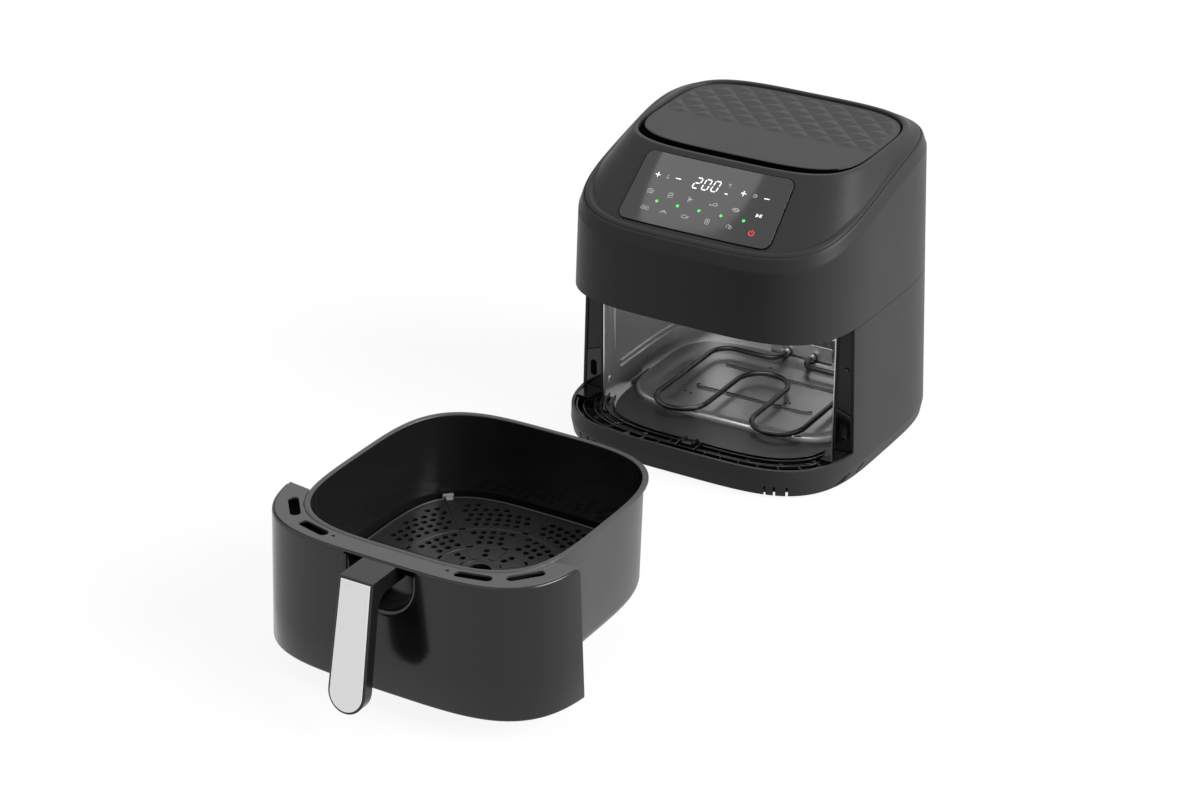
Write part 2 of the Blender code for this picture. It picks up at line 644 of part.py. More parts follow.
def make_rear():
    rear_y = HOUSING_Y + housing_half(GRILLE_Z)[1]
    turn = Matrix.Rotation(math.radians(90), 4, "X")
    slots = []
    for row in range(5):
        for column in (-1, 1):
            centre_x, centre_y = column * 38 * MM, (row - 2) * 10 * MM
            slot = rounded_rectangle(34 * MM, 2.6 * MM, 2.5 * MM, 0, 2)
            slots.append([(x + centre_x, y + centre_y) for x, y in slot])
    frame = rounded_rectangle(GRILLE_HALF_WIDTH, GRILLE_HALF_HEIGHT, 4 * MM)
    plate("rear_exhaust_grille", [frame] + slots, 5 * MM, BLACK, 0.5,
          location=(0, rear_y + 2 * MM, GRILLE_Z), turn=turn)
    spacer_y = HOUSING_Y + housing_half(SPACER_Z)[1] + 5.2 * MM
    spacer = add_part("rear_spacer", box_mesh("rear_spacer", (60 * MM, 9 * MM, 14 * MM), 2 * MM), BLACK,
                      0.5, location=(0, spacer_y, SPACER_Z))
    smooth(spacer)
    profile = [(0.0, 10 * MM), (5.5 * MM, 10 * MM), (9 * MM, 7 * MM), (9 * MM, 0), (0.0, 0)]
    gland = add_part("cord_inlet", turned("cord_inlet", profile), BLACK, 0.55)
    gland_y = HOUSING_Y + housing_half(INLET_Z)[1] - 2.6 * MM
    gland.matrix_world = (Matrix.Translation((INLET_X, gland_y, INLET_Z))
                          @ Matrix.Rotation(math.radians(-90), 4, "X"))
    screw(gland, 20)


# ---------------------------------------------------------------- safety switch

def make_switch():
    """The end of the drawer's front panel meets the plunger, which slides back into the switch."""
    tip_y = HOUSING_Y + OPENING_BACK - 0.5 * MM
    length = 12 * MM
    lying = Matrix.Rotation(math.radians(90), 4, "X")
    plunger_mesh = cylinder_mesh("switch_plunger", PLUNGER_RADIUS, length, 12)
    plunger = add_part("switch_plunger", plunger_mesh, SWITCH_RED, 0.5)
    plunger.matrix_world = Matrix.Translation((PLUNGER_X, tip_y + length / 2, PLUNGER_Z)) @ lying
    body_depth = 18 * MM
    body_y = tip_y + 5.5 * MM + body_depth / 2
    body = add_part("door_switch", box_mesh("door_switch", (8 * MM, body_depth, 20 * MM)), BLACK, 0.5,
                    location=(PLUNGER_X, body_y, PLUNGER_Z))
    bore = tool("switch_bore", cylinder_mesh("switch_bore", PLUNGER_RADIUS + GAP, 22 * MM, 12),
                (PLUNGER_X, body_y - body_depth / 2, PLUNGER_Z), lying)
    boolean(body, bore)


# ---------------------------------------------------------------- drawer

def pan_rings():
    half, corner = PAN_HALF, 16 * MM
    taper = 3 * MM
    rings = [(half + FLANGE, -1.2 * MM), (half + FLANGE, 0), (half, 0)]
    rings.append((half - taper, -PAN_DEPTH + PAN_SHEET + corner))
    for step in range(1, 5):
        angle = math.pi / 2 * step / 4
        rings.append((half - taper - corner * (1 - math.cos(angle)),
                      -PAN_DEPTH + PAN_SHEET + corner * (1 - math.sin(angle))))
    return [rounded_square(size, size, PAN_SQUARENESS, z) for size, z in rings]


def make_drawer():
    at_rim = (0, DRAWER_Y, RIM_Z)
    pan = add_part("pan", loft("pan", pan_rings(), cap_last=True), NON_STICK, 0.3, 0.5, location=at_rim)
    solidify(pan, PAN_SHEET, offset=-1.0)
    smooth(pan)

    panel_back = OPENING_BACK - 0.8 * MM
    rows = []
    top_z = RIM_Z - TRIM_THICK - GAP
    bottom_z = RIM_Z - PANEL_HEIGHT
    shift = DRAWER_HOME
    for z, round_in in ((bottom_z, 2 * MM), (bottom_z + 3 * MM, 0), ((bottom_z + top_z) / 2, 0), (top_z, 0)):
        half_x, half_y = housing_half(z + DRAWER_DROP)
        inset = PANEL_INSET + round_in
        rows.append(front_arc(half_x - inset, half_y - inset, SQUARENESS, z, panel_back, 56))
    panel = add_part("front_panel", loft("front_panel", rows, closed=False), CHARCOAL, 0.3,
                     location=(0, DRAWER_Y - shift, 0))
    solidify(panel, WALL)
    scoop = tool_plate("scoop_hole", scoop_outline(0.6 * MM, -1 * MM), 30 * MM,
                       (0, DRAWER_Y - HALF_DEPTH + 20 * MM, RIM_Z), Matrix.Rotation(math.radians(90), 4, "X"))
    boolean(panel, scoop)
    smooth(panel)

    half_x, half_y = housing_half(RIM_HOME_Z)
    outer = front_arc(half_x - PANEL_INSET, half_y - PANEL_INSET, SQUARENESS, 0, panel_back, 48)
    flange = PAN_HALF + FLANGE + 0.5 * MM
    inner = front_arc(flange, flange, PAN_SQUARENESS, 0, -80 * MM, 40)
    outline = [(p.x, p.y - shift) for p in outer] + [(p.x, p.y) for p in reversed(inner)]
    slots = []
    for side in (-1, 1):
        for centre, tilt in (((89 * MM, -135 * MM), 14), ((124 * MM, -111 * MM), 50)):
            slots.append(slot_outline(side, centre, tilt))
    plate("panel_trim", [outline] + slots, TRIM_THICK, CHARCOAL, 0.35,
          location=(0, DRAWER_Y, RIM_Z - TRIM_THICK))


def slot_outline(side, centre, tilt):
    turn = math.radians(tilt) * side
    points = []
    for x, y in rounded_rectangle(14 * MM, 2.6 * MM, 2.5 * MM, 0, 3):
        points.append((side * centre[0] + x * math.cos(turn) - y * math.sin(turn),
                       centre[1] + x * math.sin(turn) + y * math.cos(turn)))
    return points


def scoop_outline(grow=0.0, top=-TRIM_THICK - 2 * GAP):
    """The finger scoop behind the handle: straight at its top, a half round below."""
    half, depth = 37 * MM + grow, 52.5 * MM + grow
    below = arc((0, -depth + half), half, -math.pi, 0, 14)
    return [(-half, top)] + below + [(half, top)]


HANDLE_TOP_HALF = 15.5 * MM
HANDLE_END_HALF = 19.4 * MM
HANDLE_FRONT = -195.3 * MM        # the grip's front face at its top, from the pan's axis
HANDLE_LENGTH = 122.2 * MM
HANDLE_LEAN = 21.4 * MM
GRIP_THICK = 12 * MM
HANDLE_Z = RIM_Z - 1.4 * MM
TRIM_FRONT = PANEL_INSET - DRAWER_HOME - housing_half(RIM_HOME_Z)[1]
SHIELD_FRONT = -138.6 * MM        # the front of the plate that closes the scoop, from the pan's axis
SHIELD_THICK = 2 * MM


def handle_outline(inset=0.0):
    """The handle from the front: a bar that widens downwards to a round end, its top at Y = 0."""
    top, end = HANDLE_TOP_HALF - inset, HANDLE_END_HALF - inset
    below = arc((0, -HANDLE_LENGTH + HANDLE_END_HALF), end, -math.pi, 0, 16)
    return [(-top, -inset)] + below + [(top, -inset)]


def lean(part):
    """Leans the piece forward towards its lower end."""
    for vertex in part.data.vertices:
        drop = -(part.matrix_world @ vertex.co).z + HANDLE_Z
        vertex.co.z += HANDLE_LEAN * max(0.0, drop / HANDLE_LENGTH)
    return part


def make_handle():
    upright = Matrix.Rotation(math.radians(90), 4, "X")
    back_y = DRAWER_Y + SHIELD_FRONT - GAP
    front_y = DRAWER_Y + HANDLE_FRONT
    depth = back_y - front_y
    prism = [[Vector((x, y, z)) for x, y in handle_outline()] for z in (0.0, depth)]
    grip = add_part("handle_grip", loft("handle_grip", prism, cap_first=True, cap_last=True), CHARCOAL, 0.35)
    grip.matrix_world = Matrix.Translation((0, back_y, HANDLE_Z)) @ upright
    lean(grip)
    gap_depth = depth - GRIP_THICK + 30 * MM
    arm_height = 16 * MM
    finger = tool("finger_gap", box_mesh("finger_gap", (80 * MM, gap_depth, 160 * MM), 0.0),
                  (0, front_y + GRIP_THICK + gap_depth / 2, HANDLE_Z - arm_height - 80 * MM))
    for vertex in finger.data.vertices:
        drop = arm_height + 80 * MM - vertex.co.z
        vertex.co.y -= HANDLE_LEAN * drop / HANDLE_LENGTH
    boolean(grip, finger)
    notch_low = RIM_Z - TRIM_THICK - 2 * GAP
    notch = tool("trim_notch", box_mesh("trim_notch", (60 * MM, 40 * MM, 20 * MM)),
                 (0, DRAWER_Y + TRIM_FRONT - GAP + 20 * MM, notch_low + 10 * MM))
    boolean(grip, notch)

    inlay_outline = handle_outline(2.2 * MM)
    inlay_prism = [[Vector((x, y, z)) for x, y in inlay_outline] for z in (0.0, 1.0 * MM)]
    inlay_mesh = loft("handle_inlay", inlay_prism, cap_first=True, cap_last=True)
    inlay = add_part("handle_inlay", inlay_mesh, SILVER, 0.3, 1.0)
    inlay.matrix_world = Matrix.Translation((0, front_y - GAP, HANDLE_Z)) @ upright
    bpy.context.view_layer.update()
    lean(inlay)

    shield_back = DRAWER_Y + SHIELD_FRONT + SHIELD_THICK
    plate("handle_shield", [scoop_outline()], SHIELD_THICK, BLACK, 0.3,
          location=(0, shield_back, RIM_Z), turn=upright)
    head = 2 * MM
    for side, name in ((-1, "left"), (1, "right")):
        screw_name = f"handle_screw_{name}"
        bolt = add_part(screw_name, cylinder_mesh(screw_name, 3 * MM, head, 12), SILVER, 0.3, 1.0)
        bolt_at = (side * 7 * MM, shield_back + GAP + head / 2, RIM_Z - 12 * MM)
        bolt.matrix_world = Matrix.Translation(bolt_at) @ upright
        bracket_name = f"pan_bracket_{name}"
        bracket_mesh = box_mesh(bracket_name, (20 * MM, 17.6 * MM, 12 * MM), 0.8 * MM)
        bracket = add_part(bracket_name, bracket_mesh, STEEL, 0.4, 1.0,
                           location=(side * 70 * MM, DRAWER_Y - 139.2 * MM, RIM_Z - 30 * MM))
        smooth(bracket)


# ---------------------------------------------------------------- crisper plate

LEG_REACH = 111 * MM               # the plate's legs and bumpers stand on its diagonals
BUMPER_REACH = 145.6 * MM


def make_crisper():
    z = RIM_Z - PLATE_DEPTH - PLATE_THICK
    holes = [circle(11 * MM, count=12)]
    hole_rings = ((32 * MM, 8, 4 * MM), (62 * MM, 12, 5 * MM), (92 * MM, 20, 5 * MM))
    for ring_radius, count, radius in hole_rings:
        for index in range(count):
            angle = math.tau * (index + 0.5) / count
            centre = (ring_radius * math.cos(angle), ring_radius * math.sin(angle))
            holes.append(circle(radius, centre, 6))
    outer = flat_points(rounded_square(PLATE_HALF, PLATE_HALF, PAN_SQUARENESS))
    crisper = plate("crisper_plate", [outer] + holes, PLATE_THICK, PLATE_COAT, 0.35, 0.6,
                    location=(0, DRAWER_Y, z))
    crisper = as_mesh(crisper)
    leg_bottom = RIM_Z - PAN_DEPTH + PAN_SHEET + GAP
    leg_top = z + PLATE_THICK / 2
    for index in range(4):
        angle = math.pi / 4 + math.pi / 2 * index
        across, along = math.cos(angle), math.sin(angle)
        leg_mesh = cylinder_mesh("crisper_leg", 4.3 * MM, leg_top - leg_bottom, 11)
        leg_at = (LEG_REACH * across, DRAWER_Y + LEG_REACH * along, (leg_top + leg_bottom) / 2)
        leg = tool(f"crisper_leg_{index + 1}", leg_mesh, leg_at)
        boolean(crisper, leg, "UNION")
        crisper.modifiers[-1].solver = "MANIFOLD"
        name = f"plate_bumper_{index + 1}"
        bumper_mesh = box_mesh(name, (3.5 * MM, 11 * MM, 9 * MM), 0.8 * MM)
        bumper = add_part(name, bumper_mesh, SILICONE, 0.7)
        bumper_at = (BUMPER_REACH * across, DRAWER_Y + BUMPER_REACH * along, z + 1 * MM)
        bumper.matrix_world = Matrix.Translation(bumper_at) @ Matrix.Rotation(angle, 4, "Z")
        smooth(bumper)


make_housing()
make_display()
make_base()
make_cavity()
make_elements()
make_drive()
make_opening()
make_rear()
make_switch()
bpy.context.view_layer.update()
make_drawer()
bpy.context.view_layer.update()
make_handle()
make_crisper()
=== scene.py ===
"""Air fryer: shown surfaces, finishes, floor, lamps and camera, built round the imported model."""
import math

import bmesh
import bpy
from bpy.props import FloatProperty, FloatVectorProperty, PointerProperty
from mathutils import Matrix, Vector


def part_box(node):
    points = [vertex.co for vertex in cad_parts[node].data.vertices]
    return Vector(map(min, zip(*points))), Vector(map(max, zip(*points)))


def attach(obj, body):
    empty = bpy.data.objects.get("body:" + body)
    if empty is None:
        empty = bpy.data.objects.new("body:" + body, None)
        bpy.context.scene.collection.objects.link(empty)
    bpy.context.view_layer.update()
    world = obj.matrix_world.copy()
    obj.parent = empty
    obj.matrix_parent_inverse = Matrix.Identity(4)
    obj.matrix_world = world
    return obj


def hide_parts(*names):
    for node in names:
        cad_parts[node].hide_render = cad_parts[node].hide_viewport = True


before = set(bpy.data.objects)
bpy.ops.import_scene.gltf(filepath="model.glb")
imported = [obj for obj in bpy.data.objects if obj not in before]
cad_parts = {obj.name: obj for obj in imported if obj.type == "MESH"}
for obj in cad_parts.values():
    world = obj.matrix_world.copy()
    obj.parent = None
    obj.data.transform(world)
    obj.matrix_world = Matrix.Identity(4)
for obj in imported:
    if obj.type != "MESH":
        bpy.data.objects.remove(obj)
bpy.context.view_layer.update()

bl_info = {
    "name": "Air fryer",
    "version": (1, 0, 0),
    "blender": (4, 5, 0),
    "location": "View3D > Sidebar > Air fryer",
    "description": "Builds the visible pieces of an air fryer with its drawer pulled out",
    "category": "Object",
}

MM = 0.001
GAP = 0.3 * MM


def middle(node):
    low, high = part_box(node)
    return (low + high) / 2


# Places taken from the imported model
AXIS_Y = middle("lower_housing").y               # the housing's upright axis
PAN_Y = middle("pan").y                          # the pan's upright axis, with the drawer out
RIM_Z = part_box("pan")[1].z                       # the pan's rim
LIP_TOP = 31.3 * MM
OPENING_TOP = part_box("lower_housing")[1].z
TOP_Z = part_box("control_shroud")[1].z
FLOOR_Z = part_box("reflector_tray")[0].z

# Plan of the housing
HALF_WIDTH, HALF_DEPTH = 162 * MM, 157 * MM
FLARE = 0.030                                    # the walls lean in by this much for each unit of height
SQUARENESS = 4.0
WALL = 3 * MM
OPENING_BACK = -72.5 * MM
SHOULDER_FRONT, SHOULDER_SLOPE, SHOULDER_MAX = 252.3 * MM, 0.285, 316 * MM
RING = 192                                       # points round a full outline

# Plan of the drawer
PAN_HALF, PAN_SQUARENESS, PAN_DEPTH = 129.5 * MM, 3.75, 119 * MM
DRAWER_DROP, DRAWER_HOME = 12.5 * MM, 3.7 * MM
PANEL_HEIGHT, PANEL_INSET = 131.2 * MM, 0.5 * MM


def linear(code, alpha=1.0):
    """An sRGB hex colour as the linear values that a shader takes."""
    parts = [int(code[at:at + 2], 16) / 255 for at in (1, 3, 5)]
    return (*[p / 12.92 if p <= 0.04045 else ((p + 0.055) / 1.055) ** 2.4 for p in parts], alpha)


def length(name, description, default):
    return FloatProperty(name=name, description=description, default=default, unit="LENGTH", precision=5)


def colour(name, description, code):
    return FloatVectorProperty(name=name, description=description, default=linear(code), size=4,
                               subtype="COLOR", min=0.0, max=1.0)


class AirFryerSizes(bpy.types.PropertyGroup):
    """Sizes of the visible details."""
    edge: length("Edge rounding", "Radius of the housing's moulded edges", 1.1 * MM)
    relief: length("Lid relief", "Height of the lid's pyramids", 2.1 * MM)
    pitch: length("Relief pitch", "Diagonal of one pyramid on the lid", 27.7 * MM)
    hole: length("Plate hole", "Diameter of the crisper plate's holes", 6.3 * MM)
    hole_pitch: length("Plate hole pitch", "Distance between neighbouring holes", 9.2 * MM)
    element: length("Element radius", "Radius of the heating elements' sheath", 2.9 * MM)
    floor: length("Floor size", "Side of the square floor", 14.0)


class AirFryerColours(bpy.types.PropertyGroup):
    """Colours of the main finishes."""
    housing: colour("Housing", "Satin moulded ABS", "#2a2a2b")
    lid: colour("Lid", "Fine-grained moulded ABS", "#2e2e2f")
    panel: colour("Drawer panel", "Gloss moulded ABS", "#111112")
    trim: colour("Drawer trim", "Satin top of the drawer panel", "#3c3c3d")
    gloss: colour("Gloss black", "Polished ABS", "#0b0b0c")
    steel: colour("Steel", "Brushed stainless sheet", "#c9c9ca")
    coat: colour("Pan coating", "Non-stick coating", "#141415")
    pan: colour("Pan outside", "Satin painted pan wall", "#343435")
    inlay: colour("Handle inlay", "Brushed aluminium", "#e8e8e9")
    white: colour("Symbols", "Back-lit symbols", "#f4f6f6")
    green: colour("Lamps", "Back-lit green lamps", "#4be04b")
    red: colour("Power", "Back-lit power symbol", "#e0323a")
    floor: colour("Floor", "Pale floor", "#a8a8a8")


def sizes():
    return bpy.context.scene.air_fryer_sizes


def colours():
    return bpy.context.scene.air_fryer_colours


# ---------------------------------------------------------------- shapes

def rounded_square(half_x, half_y, power, z=0.0, centre_y=0.0, start=0.0, end=math.tau, count=RING):
    """Points of a superellipse at even angles; a full turn does not repeat its first point."""
    steps = count if end - start >= math.tau - 1e-6 else count - 1
    points = []
    for index in range(count):
        angle = start + (end - start) * index / steps
        x, y = math.cos(angle), math.sin(angle)
        reach = (abs(x / half_x) ** power + abs(y / half_y) ** power) ** (-1 / power)
        points.append(Vector((reach * x, centre_y + reach * y, z)))
    return points


def circle(radius, count, x=0.0, y=0.0):
    return [(x + radius * math.cos(math.tau * step / count), y + radius * math.sin(math.tau * step / count))
            for step in range(count)]


def corner_angle(half_x, half_y, power, back_y):
    """The angle below the sideways axis at which a rounded square reaches back_y in front."""
    side_x = half_x * (1 - abs(back_y / half_y) ** power) ** (1 / power)
    return math.atan2(abs(back_y), side_x)


def front_arc(half_x, half_y, power, z, back_y, count):
    """The stretch of a rounded square in front of back_y, from the left side round to the right."""
    corner = corner_angle(half_x, half_y, power, back_y)
    return rounded_square(half_x, half_y, power, z, 0.0, math.pi + corner, math.tau - corner, count)


def split_ring(half_x, half_y, z, back_y, rear, front):
    """A full housing outline whose first points are the rear stretch and the rest the front one."""
    corner = corner_angle(half_x, half_y, SQUARENESS, back_y)
    behind = rounded_square(half_x, half_y, SQUARENESS, z, 0.0, -corner, math.pi + corner, rear)
    before = front_arc(half_x, half_y, SQUARENESS, z, back_y, front + 2)
    return behind + before[1:-1]


def housing_half(z):
    """The housing's half width and half depth at a height."""
    lean = FLARE * (z - LIP_TOP)
    return HALF_WIDTH - lean, HALF_DEPTH - lean


def shoulder_ring(drop=0.0, inset=0.0):
    """The housing's outline where the sloping shoulder plane meets it, in the housing's own axes."""
    half_x, half_y = housing_half(SHOULDER_FRONT)
    soft = 6 * MM
    points = []
    for point in rounded_square(half_x - inset, half_y - inset, SQUARENESS):
        rise = SHOULDER_FRONT + SHOULDER_SLOPE * (point.y + HALF_DEPTH)
        height = SHOULDER_MAX - soft * math.log1p(math.exp((SHOULDER_MAX - rise) / soft)) - drop
        shrink = 1 - FLARE * (height - SHOULDER_FRONT) / HALF_WIDTH
        points.append(Vector((point.x * shrink, point.y * shrink, height)))
    return points


def arc(centre, radius, start, end, steps):
    angles = [start + (end - start) * step / steps for step in range(steps + 1)]
    return [Vector((centre[0] + radius * math.cos(a), centre[1] + radius * math.sin(a))) for a in angles]


def rounded_rectangle(half_x, half_y, radius):
    """A rounded rectangle, anticlockwise."""
    outline = []
    for quarter, (sign_x, sign_y) in enumerate(((1, 1), (-1, 1), (-1, -1), (1, -1))):
        centre = (sign_x * (half_x - radius), sign_y * (half_y - radius))
        outline += arc(centre, radius, math.pi / 2 * quarter, math.pi / 2 * (quarter + 1), 8)
    return outline


def smoothstep(low, high, value):
    """An even ramp from 0 at low to 1 at high, level at both ends."""
    t = min(1.0, max(0.0, (value - low) / (high - low)))
    return t * t * (3 - 2 * t)


def skin(build, rings, closed=True, first=False, last=False, keep=None):
    """Faces between rings of equal length, with caps where asked and only the faces that keep allows."""
    rows = [[build.verts.new(point) for point in ring] for ring in rings]
    count = len(rows[0])
    for level, (lower, upper) in enumerate(zip(rows, rows[1:])):
        for index in range(count if closed else count - 1):
            if keep is None or keep(level, index):
                after = (index + 1) % count
                build.faces.new((lower[index], lower[after], upper[after], upper[index]))
    if first:
        build.faces.new(list(reversed(rows[0])))
    if last:
        build.faces.new(rows[-1])
    return build


def prism(build, outline, low, high):
    """An upright solid on an anticlockwise plan outline."""
    return skin(build, [[Vector((p[0], p[1], z)) for p in outline] for z in (low, high)],
                first=True, last=True)


def across(path, index, closed=False):
    """The unit vector to the right of a plan path at one of its points."""
    count = len(path)
    before = path[index - 1] if index or closed else path[index]
    after = path[(index + 1) % count] if index < count - 1 or closed else path[index]
    run = Vector((after[0] - before[0], after[1] - before[1], 0)).normalized()
    return Vector((run.y, -run.x, 0))


def rail(build, path, width, low, high, chamfer=0.0, closed=False):
    """A wall of even width that stands along a plan path; its path's z is added to its heights."""
    half = width / 2
    top = [(half, high), (-half, high)]
    if chamfer:
        top = [(half, high - chamfer), (half - chamfer, high), (chamfer - half, high),
               (-half, high - chamfer)]
    sections = []
    for index, point in enumerate(path):
        side, place = across(path, index, closed), Vector((*point, 0.0)[:3])
        sections.append([place + side * x + Vector((0, 0, z)) for x, z in ((half, low), *top, (-half, low))])
    if closed:
        sections.append([point.copy() for point in sections[0]])
    skin(build, sections, first=not closed, last=not closed)
    if closed:
        bmesh.ops.remove_doubles(build, verts=build.verts, dist=0.001 * MM)
    return build


def block(build, size, matrix=None):
    size_matrix = Matrix.Diagonal((*size, 1.0))
    bmesh.ops.create_cube(build, size=1.0, matrix=(matrix or Matrix.Identity(4)) @ size_matrix)
    return build


def disc(build, radius, depth, matrix, sides=32):
    bmesh.ops.create_cone(build, cap_ends=True, segments=sides, radius1=radius, radius2=radius, depth=depth,
                          matrix=matrix)
    return build


def spun(profile):
    """A turned solid from (radius, height) pairs up its outside."""
    rings = [[Vector((x, y, z)) for x, y in circle(radius, 48)] for radius, z in profile]
    return skin(bmesh.new(), rings, first=True, last=True)


def join(build, other):
    """Adds another bmesh to this one and uses it up."""
    mesh = bpy.data.meshes.new("joined")
    other.to_mesh(mesh)
    other.free()
    build.from_mesh(mesh)
    bpy.data.meshes.remove(mesh)
    return build


def moved(build, place):
    bmesh.ops.transform(build, matrix=place, verts=build.verts)
    return build


def at(x=0.0, y=0.0, z=0.0):
    return Matrix.Translation((x, y, z))


def turned(degrees, axis="Z"):
    return Matrix.Rotation(math.radians(degrees), 4, axis)


UPRIGHT = turned(90, "X")


# ---------------------------------------------------------------- pieces

def put(name, data):
    """A new object in the scene."""
    made = bpy.data.objects.new(name, data)
    bpy.context.scene.collection.objects.link(made)
    return made


def bake(made):
    """Turns a piece's modifiers into its mesh."""
    evaluated = made.evaluated_get(bpy.context.evaluated_depsgraph_get())
    mesh = bpy.data.meshes.new_from_object(evaluated)
    old = made.data
    made.modifiers.clear()
    made.data = mesh
    bpy.data.meshes.remove(old)
    return made


def cut(made, cutter):
    """Cuts a piece with a bmesh, which is used up."""
    bmesh.ops.recalc_face_normals(cutter, faces=cutter.faces)
    mesh = bpy.data.meshes.new("cutter")
    cutter.to_mesh(mesh)
    cutter.free()
    knife = put("cutter", mesh)
    step = made.modifiers.new("cut", "BOOLEAN")
    step.object = knife
    step.operation = "DIFFERENCE"
    step.solver = "EXACT"
    bake(made)
    bpy.data.objects.remove(knife)
    bpy.data.meshes.remove(mesh)
    return made


def raw(name, build, *finishes, place=None, solid=True):
    """A bmesh as an object with its finishes, before it is dressed and bound to its body."""
    if place:
        moved(build, place)
    if solid:
        bmesh.ops.recalc_face_normals(build, faces=build.faces)
    mesh = bpy.data.meshes.new(name)
    build.to_mesh(mesh)
    build.free()
    for finish in finishes:
        mesh.materials.append(material(finish))
    return put(name, mesh)


def thicken(made, thickness, offset=-1.0):
    """Gives a sheet its thickness: -1 grows it inwards and 1 outwards."""
    shell = made.modifiers.new("thickness", "SOLIDIFY")
    shell.thickness = thickness
    shell.offset = offset
    shell.use_even_offset = True
    return bake(made)


def dress(made, body, slot, nodes=(), rounding=0.0, steps=3, angle=40, sharp=35):
    """Rounds and shades a piece, binds it to its body and hides the imported nodes that it stands for."""
    if rounding:
        edge = made.modifiers.new("rounding", "BEVEL")
        edge.width = rounding
        edge.segments = steps
        edge.limit_method = "ANGLE"
        edge.angle_limit = math.radians(angle)
        bake(made)
    made.data.shade_smooth()
    made.data.set_sharp_from_angle(angle=math.radians(sharp))
    if rounding:
        flat = made.modifiers.new("face_weight", "WEIGHTED_NORMAL")
        flat.keep_sharp = True
        flat.weight = 60
        bake(made)
    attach(made, body)
    if nodes:
        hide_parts(*nodes)
    return made


def piece(name, build, finish, body, slot, *nodes_and_rounding, place=None, solid=True, **look):
    """A bmesh as a dressed piece of its body in one go."""
    return dress(raw(name, build, finish, place=place, solid=solid), body, slot, *nodes_and_rounding,
                 **look)


def finish_nodes(finish, *names):
    """Gives carried-over CAD nodes a finish."""
    for name in names:
        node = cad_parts[name]
        node.data.materials.clear()
        node.data.materials.append(material(finish))


def curve_mesh(paths, dimensions, cyclic, **settings):
    """The mesh of a curve object with straight runs along the paths."""
    curve = bpy.data.curves.new("path", "CURVE")
    curve.dimensions = dimensions
    for key, value in settings.items():
        setattr(curve, key, value)
    for path in paths:
        spline = curve.splines.new("POLY")
        spline.points.add(len(path) - 1)
        for point, place in zip(spline.points, path):
            point.co = (*place, 1) if len(place) == 3 else (*place, 0, 1)
        spline.use_cyclic_u = cyclic
    holder = put("path", curve)
    mesh = bpy.data.meshes.new_from_object(holder.evaluated_get(bpy.context.evaluated_depsgraph_get()))
    bpy.data.objects.remove(holder)
    return mesh


def tube(name, paths, radius, finish, body, slot, nodes=()):
    """Round bars along 3D paths, as one mesh piece."""
    mesh = curve_mesh(paths, "3D", False, bevel_depth=radius, bevel_resolution=6, use_fill_caps=True)
    mesh.materials.clear()
    mesh.materials.append(material(finish))
    return dress(put(name, mesh), body, slot, nodes)


# ---------------------------------------------------------------- finishes

def add(tree, kind, settings=(), links=()):
    """Adds one node; settings go to its sockets or properties, and links come from other sockets."""
    node = tree.nodes.new(kind)
    for key, value in dict(settings).items():
        if isinstance(key, int) or key in node.inputs:
            node.inputs[key].default_value = value
        else:
            setattr(node, key, value)
    for key, source in dict(links).items():
        tree.links.new(source, node.inputs[key])
    return node


def surface(name, tint, settings):
    """A new material with its shader set, ready for its pattern."""
    made = bpy.data.materials.new(name)
    made.use_nodes = True
    tree = made.node_tree
    shader = tree.nodes["Principled BSDF"]
    shader.inputs["Base Color"].default_value = tint
    for key, value in settings.items():
        shader.inputs[key].default_value = value
    return made, tree, shader


def shade(tint, factor):
    return (*[min(1.0, part * factor) for part in tint[:3]], 1.0)


def grain(tree, shader, tint, size, depth, rough, stretch=(1, 1, 1), spread=0.10, smudge=0.04):
    """One real grain size drives colour, sheen and relief; a slow drift of 60 mm varies the sheen.

    size and depth are in millimetres."""
    place = add(tree, "ShaderNodeTexCoord").outputs["Object"]
    scaled = add(tree, "ShaderNodeMapping", {"Scale": stretch}, {"Vector": place}).outputs["Vector"]
    fine = add(tree, "ShaderNodeTexNoise", {"Scale": 1 / (size * MM), "Detail": 3.0, "Roughness": 0.6},
               {"Vector": scaled}).outputs["Fac"]
    slow = add(tree, "ShaderNodeTexNoise", {"Scale": 1 / (60 * MM), "Detail": 2.0},
               {"Vector": place}).outputs["Fac"]
    hue = add(tree, "ShaderNodeMix", {"data_type": "RGBA", 6: shade(tint, 1 - spread),
                                      7: shade(tint, 1 + spread)}, {0: fine})
    tree.links.new(hue.outputs[2], shader.inputs["Base Color"])
    both = add(tree, "ShaderNodeMath", {"operation": "MULTIPLY_ADD", 1: 0.5}, {0: fine, 2: slow})
    sheen = add(tree, "ShaderNodeMapRange", {"From Min": 0.35, "From Max": 1.1, "To Min": rough - smudge,
                                             "To Max": rough + smudge}, {"Value": both.outputs[0]})
    tree.links.new(sheen.outputs[0], shader.inputs["Roughness"])
    if depth:
        bump = add(tree, "ShaderNodeBump", {"Strength": 1.0, "Distance": depth * MM}, {"Height": fine})
        tree.links.new(bump.outputs["Normal"], shader.inputs["Normal"])
    return fine


